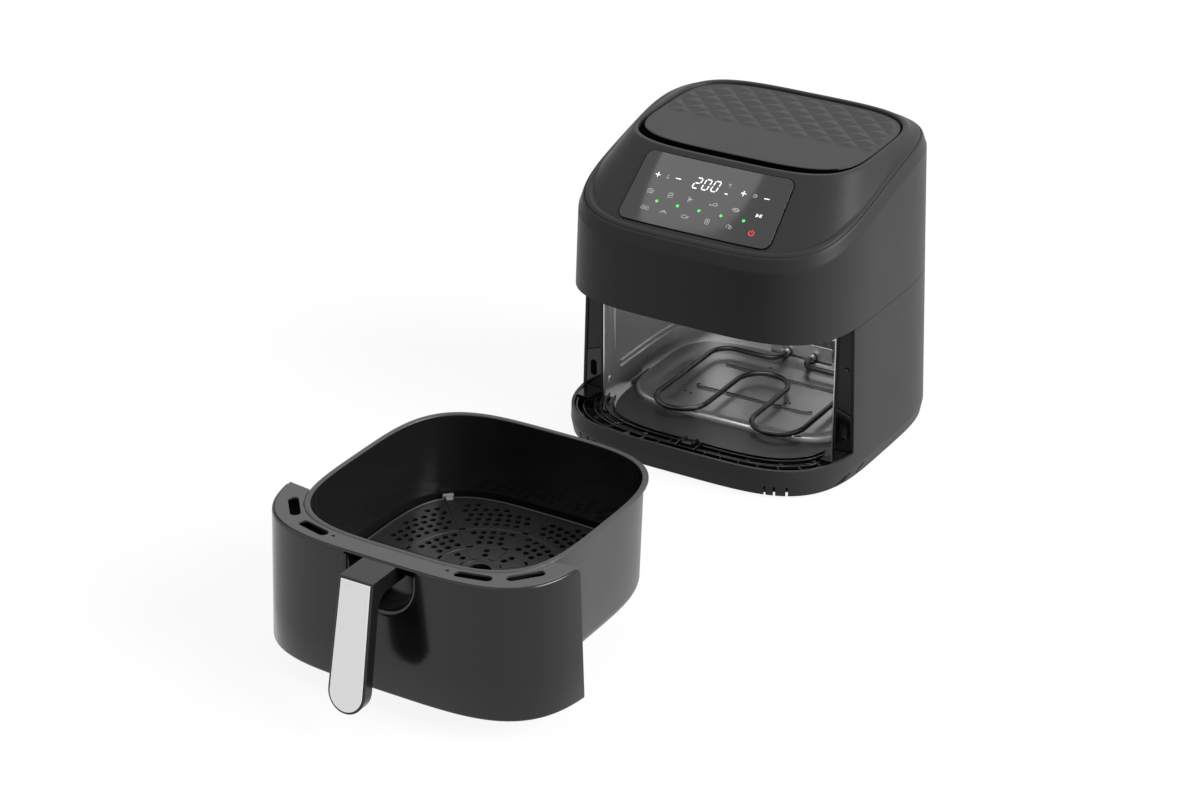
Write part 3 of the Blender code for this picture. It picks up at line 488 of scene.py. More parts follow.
# Each finish: its colour, as a sidebar colour's name or a hex code; its shader's values; its grain's size
# and relief in millimetres and its roughness; and what else its grain takes
FINISHES = {
    # Moulded ABS from a spark-eroded tool: charcoal, soft satin reflections, faint grain of 0.8 mm,
    # drawn coarser than the real 0.15 mm
    "satin_moulded_abs": ("housing", {"IOR": 1.52, "Specular IOR Level": 0.14}, (0.8, 0.012, 0.42), {}),
    # Moulded ABS with a deeper etched grain: a lighter, flatter charcoal than the walls
    "grained_lid_abs": ("lid", {"IOR": 1.52, "Specular IOR Level": 0.2}, (0.9, 0.02, 0.5), {}),
    # Moulded polypropylene inside and behind: matt, near black, coarse 1.2 mm grain
    "matt_moulded_pp": ("#121213", {"IOR": 1.49, "Specular IOR Level": 0.3}, (1.2, 0.03, 0.62),
                        {"spread": 0.15}),
    # Painted shade: a matt, almost black finish that stands for the shaded depth of gaps, holes and grooves
    # between mouldings; the arrows printed on the drawer's trim use it too
    "dark_slot": ("#020202", {"IOR": 1.4, "Specular IOR Level": 0.05}, (2, 0.0, 0.9), {}),
    # ABS from a polished tool: deep black with clear reflections and a faint 9 mm ripple
    "polished_abs": ("gloss", {"IOR": 1.52, "Specular IOR Level": 0.4}, (9, 0.01, 0.12), {}),
    # Semi-gloss ABS of the opening's uprights: dark grey, softly blurred reflections, 1 mm grain
    "pillar_abs": ("#161617", {"IOR": 1.52, "Specular IOR Level": 0.25}, (1.0, 0.01, 0.35), {}),
    # Gloss moulded ABS of the drawer's front: black and smooth, with the handle mirrored in it
    "panel_abs": ("panel", {"IOR": 1.52, "Specular IOR Level": 0.38}, (0.7, 0.004, 0.15), {}),
    # Satin moulded ABS of the drawer's top ring: mid grey under light, fine grain
    "trim_abs": ("trim", {"IOR": 1.52, "Specular IOR Level": 0.4}, (0.8, 0.012, 0.42), {}),
    # Smoked acrylic over a printed film: near black, sharp reflections, very slightly wavy over 14 mm
    "smoked_panel": ("#1a1a1c", {"IOR": 1.49, "Specular IOR Level": 0.5}, (14, 0.001, 0.05),
                     {"smudge": 0.01}),
    # Back-lit symbols and lamps under the panel's film: even colour, softly uneven over 1.5 mm
    "lit_white": ("white", {"Emission Strength": 0.75}, (1.5, 0.0, 0.4), {"spread": 0.05}),
    "lit_dim": ("#b9bcbc", {"Emission Strength": 0.25}, (1.5, 0.0, 0.4), {"spread": 0.05}),
    "lit_green": ("green", {"Emission Strength": 0.7}, (1.5, 0.0, 0.4), {"spread": 0.05}),
    "lit_red": ("red", {"Emission Strength": 0.5}, (1.5, 0.0, 0.4), {"spread": 0.05}),
    # Rolled stainless sheet: bright grey, drawn out along one way by its 0.9 mm brush lines
    "brushed_stainless": ("steel", {"Metallic": 1.0}, (0.9, 0.01, 0.34),
                          {"stretch": (1, 0.04, 1), "spread": 0.12, "smudge": 0.07}),
    # Reflector sheet: a darker grey steel than the liner, its brush lines running the other way
    "baked_tray_steel": ("#929293", {"Metallic": 1.0}, (0.9, 0.01, 0.36),
                         {"stretch": (0.05, 1, 1), "spread": 0.1}),
    # Dark enamelled steel in front of the tray: flat, near black, slightly pebbled at 1.5 mm
    "enamelled_apron": ("#1c1c1d", {"IOR": 1.5, "Specular IOR Level": 0.35}, (1.5, 0.02, 0.45), {}),
    # Incoloy sheath after firing: dark grey-brown metal with soft 3 mm blotches
    "oxidised_sheath": ("#3a3938", {"Metallic": 0.9}, (3, 0.02, 0.24), {"spread": 0.2}),
    # Zinc-plated steel screws and nuts: pale, slightly bluish, with 2 mm spangle
    "zinc_plated": ("#b4b6ba", {"Metallic": 1.0}, (2, 0.01, 0.3), {}),
    # Painted motor can: dark grey enamel with orange peel of 2 mm
    "motor_can": ("#3b3c3e", {"Metallic": 0.2, "IOR": 1.5}, (2, 0.02, 0.4), {}),
    # Moulded rubber: matt black, no clear reflections, 1 mm grain
    "foot_rubber": ("#1b1b1b", {"IOR": 1.5, "Specular IOR Level": 0.25}, (1.0, 0.03, 0.8), {}),
    # Moulded silicone bumpers: light warm grey, soft sheen
    "grey_silicone": ("#8a8a88", {"IOR": 1.42, "Specular IOR Level": 0.35}, (1.0, 0.02, 0.55), {}),
    # Sprayed non-stick coating inside the pan: black, glossy, with faint orange peel of 3 mm
    "non_stick_coat": ("coat", {"IOR": 1.45, "Specular IOR Level": 0.45}, (3, 0.01, 0.15),
                       {"smudge": 0.04}),
    # Sprayed coating on the crisper plate: a matter, greyer black than the pan
    "plate_coat": ("#1f1f20", {"IOR": 1.45, "Specular IOR Level": 0.5}, (1.2, 0.015, 0.34), {}),
    # Grey heat-resistant paint on the pan's outside and rim: satin with fine metallic flake
    "painted_pan": ("pan", {"Metallic": 0.25, "IOR": 1.5, "Specular IOR Level": 0.5}, (0.9, 0.01, 0.36),
                    {"spread": 0.14}),
    # Brushed and anodised aluminium: silver, its lines running down the handle, 0.6 mm apart
    "brushed_inlay": ("inlay", {"Metallic": 0.55, "Specular IOR Level": 0.5}, (0.6, 0.008, 0.42),
                      {"stretch": (1, 1, 0.04), "spread": 0.06}),
    # Moulded acetal plunger: waxy, its red painted down to an almost black brownish red, the painted shade
    # of the hole it sits in
    "switch_pom": ("#241312", {"IOR": 1.48}, (1.0, 0.01, 0.4), {}),
}


def laminate_board():
    """FR4 laminate under green solder resist: copper runs show as paler lines 4 mm apart."""
    tint = linear("#14562f")
    made, tree, shader = surface("laminate_board", tint, {"IOR": 1.5, "Roughness": 0.35})
    place = add(tree, "ShaderNodeTexCoord").outputs["Object"]
    runs = add(tree, "ShaderNodeTexBrick", {"Color1": tint, "Color2": shade(tint, 1.15),
                                            "Mortar": shade(tint, 1.9), "Scale": 1 / (8 * MM),
                                            "Mortar Size": 0.06, "Brick Width": 0.9, "Row Height": 0.5},
               {"Vector": place})
    tree.links.new(runs.outputs["Color"], shader.inputs["Base Color"])
    return made


def material(name):
    """The finish of that name, made when it is first asked for."""
    found = bpy.data.materials.get(name)
    if found or name == "laminate_board":
        return found or laminate_board()
    tint, settings, grains, options = FINISHES[name]
    tint = linear(tint) if tint.startswith("#") else tuple(getattr(colours(), tint))
    made, tree, shader = surface(name, tint, settings)
    if "Emission Strength" in settings:
        shader.inputs["Emission Color"].default_value = tint
    grain(tree, shader, tint, *grains, **options)
    return made


# ---------------------------------------------------------------- housing

class AIRFRYER_OT_lower_housing(bpy.types.Operator):
    """Base, front lip and rear walls up to the opening's top"""
    bl_idname = "airfryer.lower_housing"
    bl_label = "Lower housing"

    def execute(self, context):
        rear, front = 150, 100  # points in the rear stretch of an outline and in its front one
        # Heights and insets in millimetres, up the foot with its shadow groove and then up the walls
        foot = ((2.0, 3.6), (3.0, 2.5), (15.0, 0.25), (16.4, 0.0), (LIP_TOP / MM, 0.0))
        walls = ((60, 0.0), (100, 0.0), (140, 0.0), (OPENING_TOP / MM, 0.0))
        rings = []
        for z, inset in foot + walls:
            half_x, half_y = housing_half(z * MM)
            rings.append(split_ring(half_x - inset * MM, half_y - inset * MM, z * MM, OPENING_BACK,
                                    rear, front))
        lip_level = len(foot) - 1
        build = skin(bmesh.new(), rings, keep=lambda level, index: level < lip_level or index < rear - 1)
        made = raw("lower_housing", build, "satin_moulded_abs", place=at(y=AXIS_Y), solid=False)
        thicken(made, WALL)
        vents = bmesh.new()
        for side in (-1, 1):
            # Upright notches in the foot's front corners, then slanted slots low on the sides
            for x, y, turn in ((99.7, -150.2, 13), (109.2, -147.3, 20), (121.0, -142.0, 27)):
                block(vents, (2.4 * MM, 14 * MM, 22 * MM),
                      at(side * x * MM, AXIS_Y + y * MM, 2 * MM) @ turned(turn * side))
            for x, y, z, turn in ((161, -57, 9, -14), (158.5, -83.5, 8, -9), (156.8, -91.5, 7, -5)):
                block(vents, (16 * MM, 15 * MM, 2.2 * MM),
                      at(side * x * MM, AXIS_Y + y * MM, z * MM) @ turned(turn * side) @ turned(24, "X"))
        cut(made, vents)
        dress(made, "housing", "housing_plastic", ["lower_housing"], sizes().edge, angle=50)
        return {"FINISHED"}


class AIRFRYER_OT_upper_housing(bpy.types.Operator):
    """Band round the top half of the housing, up to its sloping shoulder"""
    bl_idname = "airfryer.upper_housing"
    bl_label = "Upper housing"

    def execute(self, context):
        rings = []
        for z in (OPENING_TOP + 0.5 * MM, 200 * MM, 232 * MM):
            half_x, half_y = housing_half(z)
            rings.append(rounded_square(half_x, half_y, SQUARENESS, z))
        # The band's top edge rolls over just below the shoulder
        for drop, inset in ((14.5, 0.0), (12.6, 0.1), (11.6, 0.45), (2.6, 2.9), (1.2, 3.4), (0.35, 4.1),
                            (0.0, 4.9)):
            rings.append(shoulder_ring(drop * MM, inset * MM))
        made = raw("upper_housing", skin(bmesh.new(), rings), "satin_moulded_abs", place=at(y=AXIS_Y),
                   solid=False)
        thicken(made, WALL)
        low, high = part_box("rear_exhaust_grille")
        window = high - low + Vector((2 * GAP, 60 * MM, 2 * GAP))
        cut(made, block(bmesh.new(), window, at(*middle("rear_exhaust_grille"))))
        dress(made, "housing", "housing_plastic", ["upper_housing"], 0.9 * MM, angle=50, sharp=28)
        return {"FINISHED"}


# The rim round the lid lies in a plane that rises gently to the rear
RIM_HALF_X, RIM_FRONT_Y, RIM_REAR_Y = 132 * MM, -66.5 * MM, 133 * MM
RIM_HALF_Y = (RIM_REAR_Y - RIM_FRONT_Y) / 2
RIM_Y = (RIM_REAR_Y + RIM_FRONT_Y) / 2
RIM_FRONT_Z, RIM_REAR_Z = 314.6 * MM, TOP_Z - 1.1 * MM


def rim_ring(inset, up):
    points = rounded_square(RIM_HALF_X - inset, RIM_HALF_Y - inset, SQUARENESS, 0.0, RIM_Y)
    for point in points:
        along = (point.y - RIM_FRONT_Y) / (RIM_REAR_Y - RIM_FRONT_Y)
        point.z = RIM_FRONT_Z + (RIM_REAR_Z - RIM_FRONT_Z) * along + up
    return points


class AIRFRYER_OT_control_shroud(bpy.types.Operator):
    """Sloping shroud between the shoulder and the rim round the lid"""
    bl_idname = "airfryer.control_shroud"
    bl_label = "Control shroud"

    def execute(self, context):
        rings = [shoulder_ring(drop * MM, inset * MM) for drop, inset in (
            (4.0, 5.5), (0.1, 5.5), (-0.8, 5.9), (-1.5, 6.9), (-2.0, 8.0))]
        crown = shoulder_ring(-2.2 * MM, 9.0 * MM)
        rim = rim_ring(0.0, 0.0)
        # The front face sinks this deep below a straight slope, deepest at this share of the way up
        deep, crease = 6.9 * MM, 0.081
        for t in (0.0, 0.04, 0.07, crease, 0.10, 0.14, 0.3, 0.5, 0.7, 0.85, 0.95):
            part = t / crease if t < crease else (1 - t) / (1 - crease)
            row = []
            for index, (low, high) in enumerate(zip(crown, rim)):
                front = smoothstep(0.3, 0.85, -math.sin(math.tau * index / RING))
                row.append(low.lerp(high, t) - Vector((0, 0, deep * part * front)))
            rings.append(row)
        for inset, up in ((0.0, 0.0), (0.7, 0.75), (1.8, 1.1), (4.4, 1.1), (5.2, 0.8), (5.6, 0.0),
                          (5.8, -9)):
            rings.append(rim_ring(inset * MM, up * MM))
        made = raw("control_shroud", skin(bmesh.new(), rings), "satin_moulded_abs", place=at(y=AXIS_Y),
                   solid=False)
        thicken(made, 1.6 * MM)
        dress(made, "housing", "housing_plastic", ["control_shroud"], sharp=50)
        # The frame under the lid, with the two tabs that show in the slot round it, in the near-black finish
        # of painted shade
        frame_bed = bmesh.new()
        skin(frame_bed, [rim_ring(6.4 * MM, up * MM) for up in (-15.1, -11.1)], first=True, last=True)
        for x, y, turn in ((-104.5, -38.5, 52), (125.3, 66, 90)):
            block(frame_bed, (11 * MM, 2.4 * MM, 6 * MM), at(x * MM, y * MM, 308.5 * MM) @ turned(turn))
        piece("lid_frame", frame_bed, "dark_slot", "housing", "inner_plastic", ["lid_frame"], 0.4 * MM,
              place=at(y=AXIS_Y))
        return {"FINISHED"}


LID_HALF_X, LID_FRONT_Y, LID_REAR_Y = 124 * MM, -49.5 * MM, 125.4 * MM
LID_HALF_Y = (LID_REAR_Y - LID_FRONT_Y) / 2
LID_Y = (LID_REAR_Y + LID_FRONT_Y) / 2
LID_Z, LID_RISE = 317.75 * MM, 0.022             # its height over the axis, and its slope to the rear
RELIEF_X, RELIEF_Y = 7.7 * MM, 54.5 * MM         # the tip of one pyramid
RELIEF_STEPS = 16                                # grid steps along a pyramid's diagonal


def lid_ring(inset, up):
    """The lid's outline in its own gently rising plane."""
    points = rounded_square(LID_HALF_X - inset, LID_HALF_Y - inset, SQUARENESS, 0.0, LID_Y)
    for point in points:
        point.z = LID_Z + LID_RISE * point.y + up
    return points


def pyramid_height(x, y):
    """Square pyramids turned by 45 degrees that fill the plan; 0 along their valleys and 1 at their tips."""
    half = sizes().pitch / 2
    u, v = (x - RELIEF_X) / half, (y - RELIEF_Y) / half
    return abs(1 - abs(u - 2 * round(u / 2)) - abs(v - 2 * round(v / 2)))


class AIRFRYER_OT_top_lid(bpy.types.Operator):
    """Lid with a plain front and a field of low pyramids behind it"""
    bl_idname = "airfryer.top_lid"
    bl_label = "Top lid"

    def execute(self, context):
        levels = ((3.0, -9.6), (0.6, -7.0), (0.0, -2.4), (0.0, -1.3), (0.3, -0.55), (0.9, -0.15), (1.7, 0.0))
        build = skin(bmesh.new(), [lid_ring(inset * MM, up * MM) for inset, up in levels], first=True,
                     last=True)
        # Painted shade: the lid's side faces, below its top, take the near-black finish of the slot's shade
        for face in build.faces:  # the lid's side is lost in the slot's shade
            face.material_index = int(face.calc_center_median().z - LID_Z < -1.6 * MM)
        step = sizes().pitch / RELIEF_STEPS
        columns, rows = int(LID_HALF_X / step), range(-9, int(LID_REAR_Y / step) + 1)
        grid = {}

        def corner(u, v):
            if (u, v) not in grid:
                x, y = u * step + RELIEF_X, (v - RELIEF_STEPS) * step + RELIEF_Y
                norm = (abs(x / (LID_HALF_X - 2 * MM)) ** SQUARENESS
                        + abs((y - LID_Y) / (LID_HALF_Y - 2 * MM)) ** SQUARENESS) ** (1 / SQUARENESS)
                edge = 1 - smoothstep(0.95, 0.985, norm)
                start = smoothstep(19 * MM, 33 * MM, y)
                height = sizes().relief * pyramid_height(x, y) * edge * start
                grid[u, v] = (build.verts.new((x, y, LID_Z + LID_RISE * y + height - 0.04 * MM)), norm)
            return grid[u, v]

        for v in rows:
            for u in range(-columns - 8, columns + 8):
                ring = [corner(u, v), corner(u + 1, v), corner(u + 1, v + 1), corner(u, v + 1)]
                if all(norm < 1 for _, norm in ring):
                    centre = corner(u + 0.5, v + 0.5)[0]
                    for one, two in zip(ring, ring[1:] + ring[:1]):
                        build.faces.new((one[0], two[0], centre))
        loose = [vertex for vertex in build.verts if not vertex.link_faces]
        bmesh.ops.delete(build, geom=loose, context="VERTS")
        made = raw("top_lid", build, "grained_lid_abs", "dark_slot", place=at(y=AXIS_Y), solid=False)
        dress(made, "housing", "lid_plastic", ["top_lid"], sharp=4)
        return {"FINISHED"}


# The touch panel: its middle line up the shroud's slope, its size and how far its sides bow back
PANEL_LOW = Vector((0, -131.8 * MM, 260.2 * MM))
PANEL_HIGH = Vector((0, -71.1 * MM, 311.7 * MM))
PANEL_HALF_X, PANEL_TAPER, PANEL_BOW = 86 * MM, 3 * MM, 3.4 * MM
PANEL_HALF_Y = (PANEL_HIGH - PANEL_LOW).length / 2


def on_panel(x, y, lift):
    """A place on the panel: x across it, y up its slope from its middle, lift out of its face."""
    slope = (PANEL_HIGH - PANEL_LOW).normalized()
    outward = Vector((1, 0, 0)).cross(slope)
    bow = Vector((0, PANEL_BOW * (1 + 0.2 * y / PANEL_HALF_Y) * abs(x / PANEL_HALF_X) ** 4, 0))
    return (PANEL_LOW + PANEL_HIGH) / 2 + Vector((x, AXIS_Y, 0)) + slope * y + outward * lift + bow


def panel_sheet(build, grow, radius, lift):
    """A bowed sheet with rounded corners, narrower at its top."""
    half_y = PANEL_HALF_Y + grow
    steps = [radius * (1 - math.cos(math.pi / 2 * k / 7)) for k in range(8)]
    heights = [step - half_y for step in steps] + [-half_y / 2, 0, half_y / 2]
    heights += [half_y - step for step in reversed(steps)]
    rings = []
    for height in heights:
        short = min(1.0, (half_y - abs(height)) / radius)
        side = (PANEL_HALF_X + grow - PANEL_TAPER * (0.5 + height / (2 * half_y))
                - radius * (1 - math.sqrt(max(0.0, 1 - (1 - short) ** 2))))
        rings.append([on_panel(side * (u / 24 - 1), height, lift) for u in range(49)])
    return skin(build, rings, closed=False)


def oval(x, y, radius_x, radius_y, start=0.0, end=360.0, steps=20):
    """An arc of an ellipse, from one angle in degrees to another."""
    angles = [math.radians(start + (end - start) * step / steps) for step in range(steps + 1)]
    return [Vector((x + radius_x * math.cos(a), y + radius_y * math.sin(a), 0)) for a in angles]


def seven_segments(lit_ones, x, y):
    """One slanted digit, 12 mm high; segments are named a to g in the usual way."""
    half_x, half_y, slant = 3.1, 6.0, 0.19
    ends = {"a": ((-1, 1), (1, 1)), "b": ((1, 1), (1, 0)), "c": ((1, 0), (1, -1)),
            "d": ((-1, -1), (1, -1)), "e": ((-1, 0), (-1, -1)), "f": ((-1, 1), (-1, 0)),
            "g": ((-1, 0), (1, 0))}
    strokes = []
    for name in lit_ones:
        one, two = [Vector((half_x * u, half_y * v, 0)) for u, v in ends[name]]
        run = (two - one).normalized() * 0.75
        strokes.append([Vector((x + p.x + slant * p.y, y + p.y, 0)) for p in (one + run, two - run)])
    return strokes


# Symbols on the panel, in millimetres from each symbol's middle
PLUS = [[(-2.7, 0), (2.7, 0)], [(0, -2.7), (0, 2.7)]]
MINUS = [[(-2.9, 0), (2.9, 0)]]
GLASS_TUBE = [[(0, -0.6), (0, 2.3)], oval(0, -1.5, 0.8, 0.8)]
CLOCK = [oval(0, 0, 1.8, 1.8), [(0, 1), (0, 0), (0.8, 0)]]
CELSIUS = [oval(-1.3, 1.0, 0.5, 0.5), oval(0.8, -0.2, 1.1, 1.4, 50, 310)]
DASH = [[(-1.7, 0), (1.7, 0)]]
PLAY = [[(-2.6, -1.8), (-2.6, 1.8), (0.2, 0), (-2.6, -1.8)], [(-1.9, -0.9), (-1.9, 0.9)],
        [(-1.2, -0.4), (-1.2, 0.4)], [(1.3, -1.8), (1.3, 1.8)], [(2.6, -1.8), (2.6, 1.8)]]
POWER = [oval(0, 0, 2.7, 2.7, 125, 415), [(0, 0.4), (0, 3.3)]]
OVEN = [oval(0, 0, 3.4, 2.3), [(-2.2, 0.4), (2.2, 0.4)], [(-1.6, -0.8), (1.6, -0.8)],
        [(-2.2, -2.1), (-2.6, -3)], [(2.2, -2.1), (2.6, -3)]]
CHIPS = [[(-2.4, -2.6), (-2.9, 1.2), (1.9, 2.0), (2.4, -1.8), (-2.4, -2.6)], [(-1.9, 1.4), (-1.7, 3.2)],
         [(-0.4, 1.7), (-0.2, 3.4)], [(1.2, 1.9), (1.5, 3.5)], [(-2.6, -0.6), (2.1, 0.2)]]
PIZZA = [[(-2.4, 2.9), (-1.9, -2.9), (2.6, 0.6), (-2.4, 2.9)], oval(-1.0, 0.6, 0.5, 0.5),
         oval(0.4, 0.4, 0.4, 0.4), [(-2.2, -0.8), (-0.6, -1.2)]]
DRUMSTICK = [oval(1.9, 0.9, 2.1, 1.5), [(0.1, 0.2), (-3.4, -0.9)], oval(-3.7, -0.6, 0.6, 0.5)]
STEAK = [oval(0, 0, 3.6, 1.9), oval(-1.2, 0.4, 1.0, 0.6), [(0.6, 1.2), (3.0, 0.2)],
         [(0.4, -0.3), (2.4, -1.0)]]
TOAST = [[(-4.2, -1.7), (-4.2, 1.7), (-0.9, 1.7), (-0.9, -1.7), (-4.2, -1.7)],
         [(0.9, -1.7), (0.9, 1.7), (4.2, 1.7), (4.2, -1.7), (0.9, -1.7)], [(-3.3, 0), (-1.8, 0)],
         [(1.8, 0), (3.3, 0)]]
SHRIMP = [oval(0, -2.2, 3.4, 3.0, 20, 165), oval(0.2, -2.4, 2.2, 1.7, 30, 150), [(-3.3, -1.4), (-4.0, -2.2)],
          [(3.2, -1.2), (4.0, -2.4)]]
FISH = [oval(-0.5, 0, 3.0, 1.6), [(2.4, 0), (4.0, 1.4), (4.0, -1.4), (2.4, 0)], [(-2.0, 0.3), (-1.7, 0.3)]]
MUFFIN = [oval(0, 0.8, 2.4, 2.2, -10, 190), [(-2.3, 0.4), (-1.7, -2.8), (1.7, -2.8), (2.3, 0.4)],
          oval(0, 0.2, 1.0, 1.2)]
PEPPER = [oval(-0.6, 0.2, 2.5, 1.5, 20, 250), oval(1.4, -1.0, 1.6, 1.1), [(-0.8, 1.6), (-1.6, 2.8)],
          [(1.0, 0.2), (3.4, 0.6)]]

# Their places, and the widths of the white ones' lines
WHITE_SYMBOLS = ((PLUS, -61, 14.5, 1.0), (MINUS, -37.3, 15, 1.0), (DASH, 19.2, 10.1, 1.0),
                 (PLUS, 37, 14.8, 1.0), (MINUS, 62.7, 13.9, 1.0), (PLAY, 62.2, -5.6, 0.75),
                 (seven_segments("abged", -15.4, 15), 0, 0, 1.15),
                 (seven_segments("abcdef", -5, 15.2), 0, 0, 1.15),
                 (seven_segments("abcdef", 5.3, 15.6), 0, 0, 1.15))
DIM_SYMBOLS = ((GLASS_TUBE, -49.3, 14.7), (CELSIUS, 19.7, 20.1), (CLOCK, 49.7, 14.7), (OVEN, -61.2, -4.7),
               (CHIPS, -37.6, -4.7), (PIZZA, -15.2, -4.7), (DRUMSTICK, 11.3, -4.7), (STEAK, 36.4, -4.7),
               (TOAST, -59.2, -23.8), (SHRIMP, -37.6, -23.4), (FISH, -13.3, -23.8), (MUFFIN, 12.2, -23.8),
               (PEPPER, 36.8, -23.8))
LAMP_PLACES = (-49.5, -25.5, -1.1, 23.8, 49.1)


def draw(build, strokes, x, y, width):
    """Adds a symbol's strokes as flat raised lines; places and width are in millimetres."""
    for stroke in strokes:
        path = [Vector((x + p[0], y + p[1], 0)) * MM for p in stroke]
        rail(build, path, width * MM, -0.3 * MM, 0.06 * MM)


def print_symbols(name, build, finish):
    """Lays flat symbols on the panel's face as one piece."""
    for vertex in build.verts:
        vertex.co = on_panel(vertex.co.x, vertex.co.y, vertex.co.z + 0.6 * MM)
    piece(name, build, finish, "housing", "display")


class AIRFRYER_OT_touch_panel(bpy.types.Operator):
    """Bowed touch panel with its back-lit symbols, and a near-black sheet under its edge that paints the
    shade of the groove round it
    """
    bl_idname = "airfryer.touch_panel"
    bl_label = "Touch panel"

    def execute(self, context):
        # Painted shade: a near-black sheet a little larger than the panel, seen round its edge as the
        # groove's shade
        groove = raw("panel_groove", panel_sheet(bmesh.new(), 0.7 * MM, 9 * MM, 0.3 * MM), "dark_slot",
                     solid=False)
        thicken(groove, 1.2 * MM)
        dress(groove, "housing", "inner_plastic")
        glass = raw("display_glass", panel_sheet(bmesh.new(), 0.0, 8.5 * MM, 0.6 * MM), "smoked_panel",
                    solid=False)
        thicken(glass, 2.0 * MM)
        dress(glass, "housing", "display", ["display_glass"], 0.35 * MM, angle=50)
        white, dim, lamps, power = [bmesh.new() for _ in range(4)]
        for strokes, x, y, width in WHITE_SYMBOLS:
            draw(white, strokes, x, y, width)
        for strokes, x, y in DIM_SYMBOLS:
            draw(dim, strokes, x, y, 0.42)
        for x in LAMP_PLACES:
            prism(lamps, [p * MM for p in oval(x, -14.2, 1.6, 1.6)[:-1]], -0.3 * MM, 0.08 * MM)
        draw(power, POWER, 62.3, -25.5, 0.9)
        print_symbols("white_symbols", white, "lit_white")
        print_symbols("dim_symbols", dim, "lit_dim")
        print_symbols("green_lamps", lamps, "lit_green")
        print_symbols("power_symbol", power, "lit_red")
        return {"FINISHED"}


# ---------------------------------------------------------------- opening and cavity

APRON_HALF_X, APRON_HALF_Y, APRON_POWER = 127.5 * MM, 112.5 * MM, 3.6
BEZEL_BACK, BEZEL_DEPTH = -66 * MM, 14 * MM      # where its ends stand, and how far it sinks below the lip
LINER_HALF_X, LINER_HALF_Y = 137 * MM, 140.5 * MM
TRAY_HALF_X, TRAY_HALF_Y, TRAY_Y = 128 * MM, 88 * MM, 30 * MM


def bezel_arc(share):
    """An arc across the bezel; share runs from 0 at the lip to 1 at the apron."""
    outer_x, outer_y = HALF_WIDTH - 4.2 * MM, HALF_DEPTH - 4.2 * MM
    half_x = outer_x + (APRON_HALF_X + 1.5 * MM - outer_x) * share
    half_y = outer_y + (APRON_HALF_Y + 1.5 * MM - outer_y) * share
    return front_arc(half_x, half_y, SQUARENESS - (SQUARENESS - APRON_POWER) * share, 0.0, BEZEL_BACK, 90)


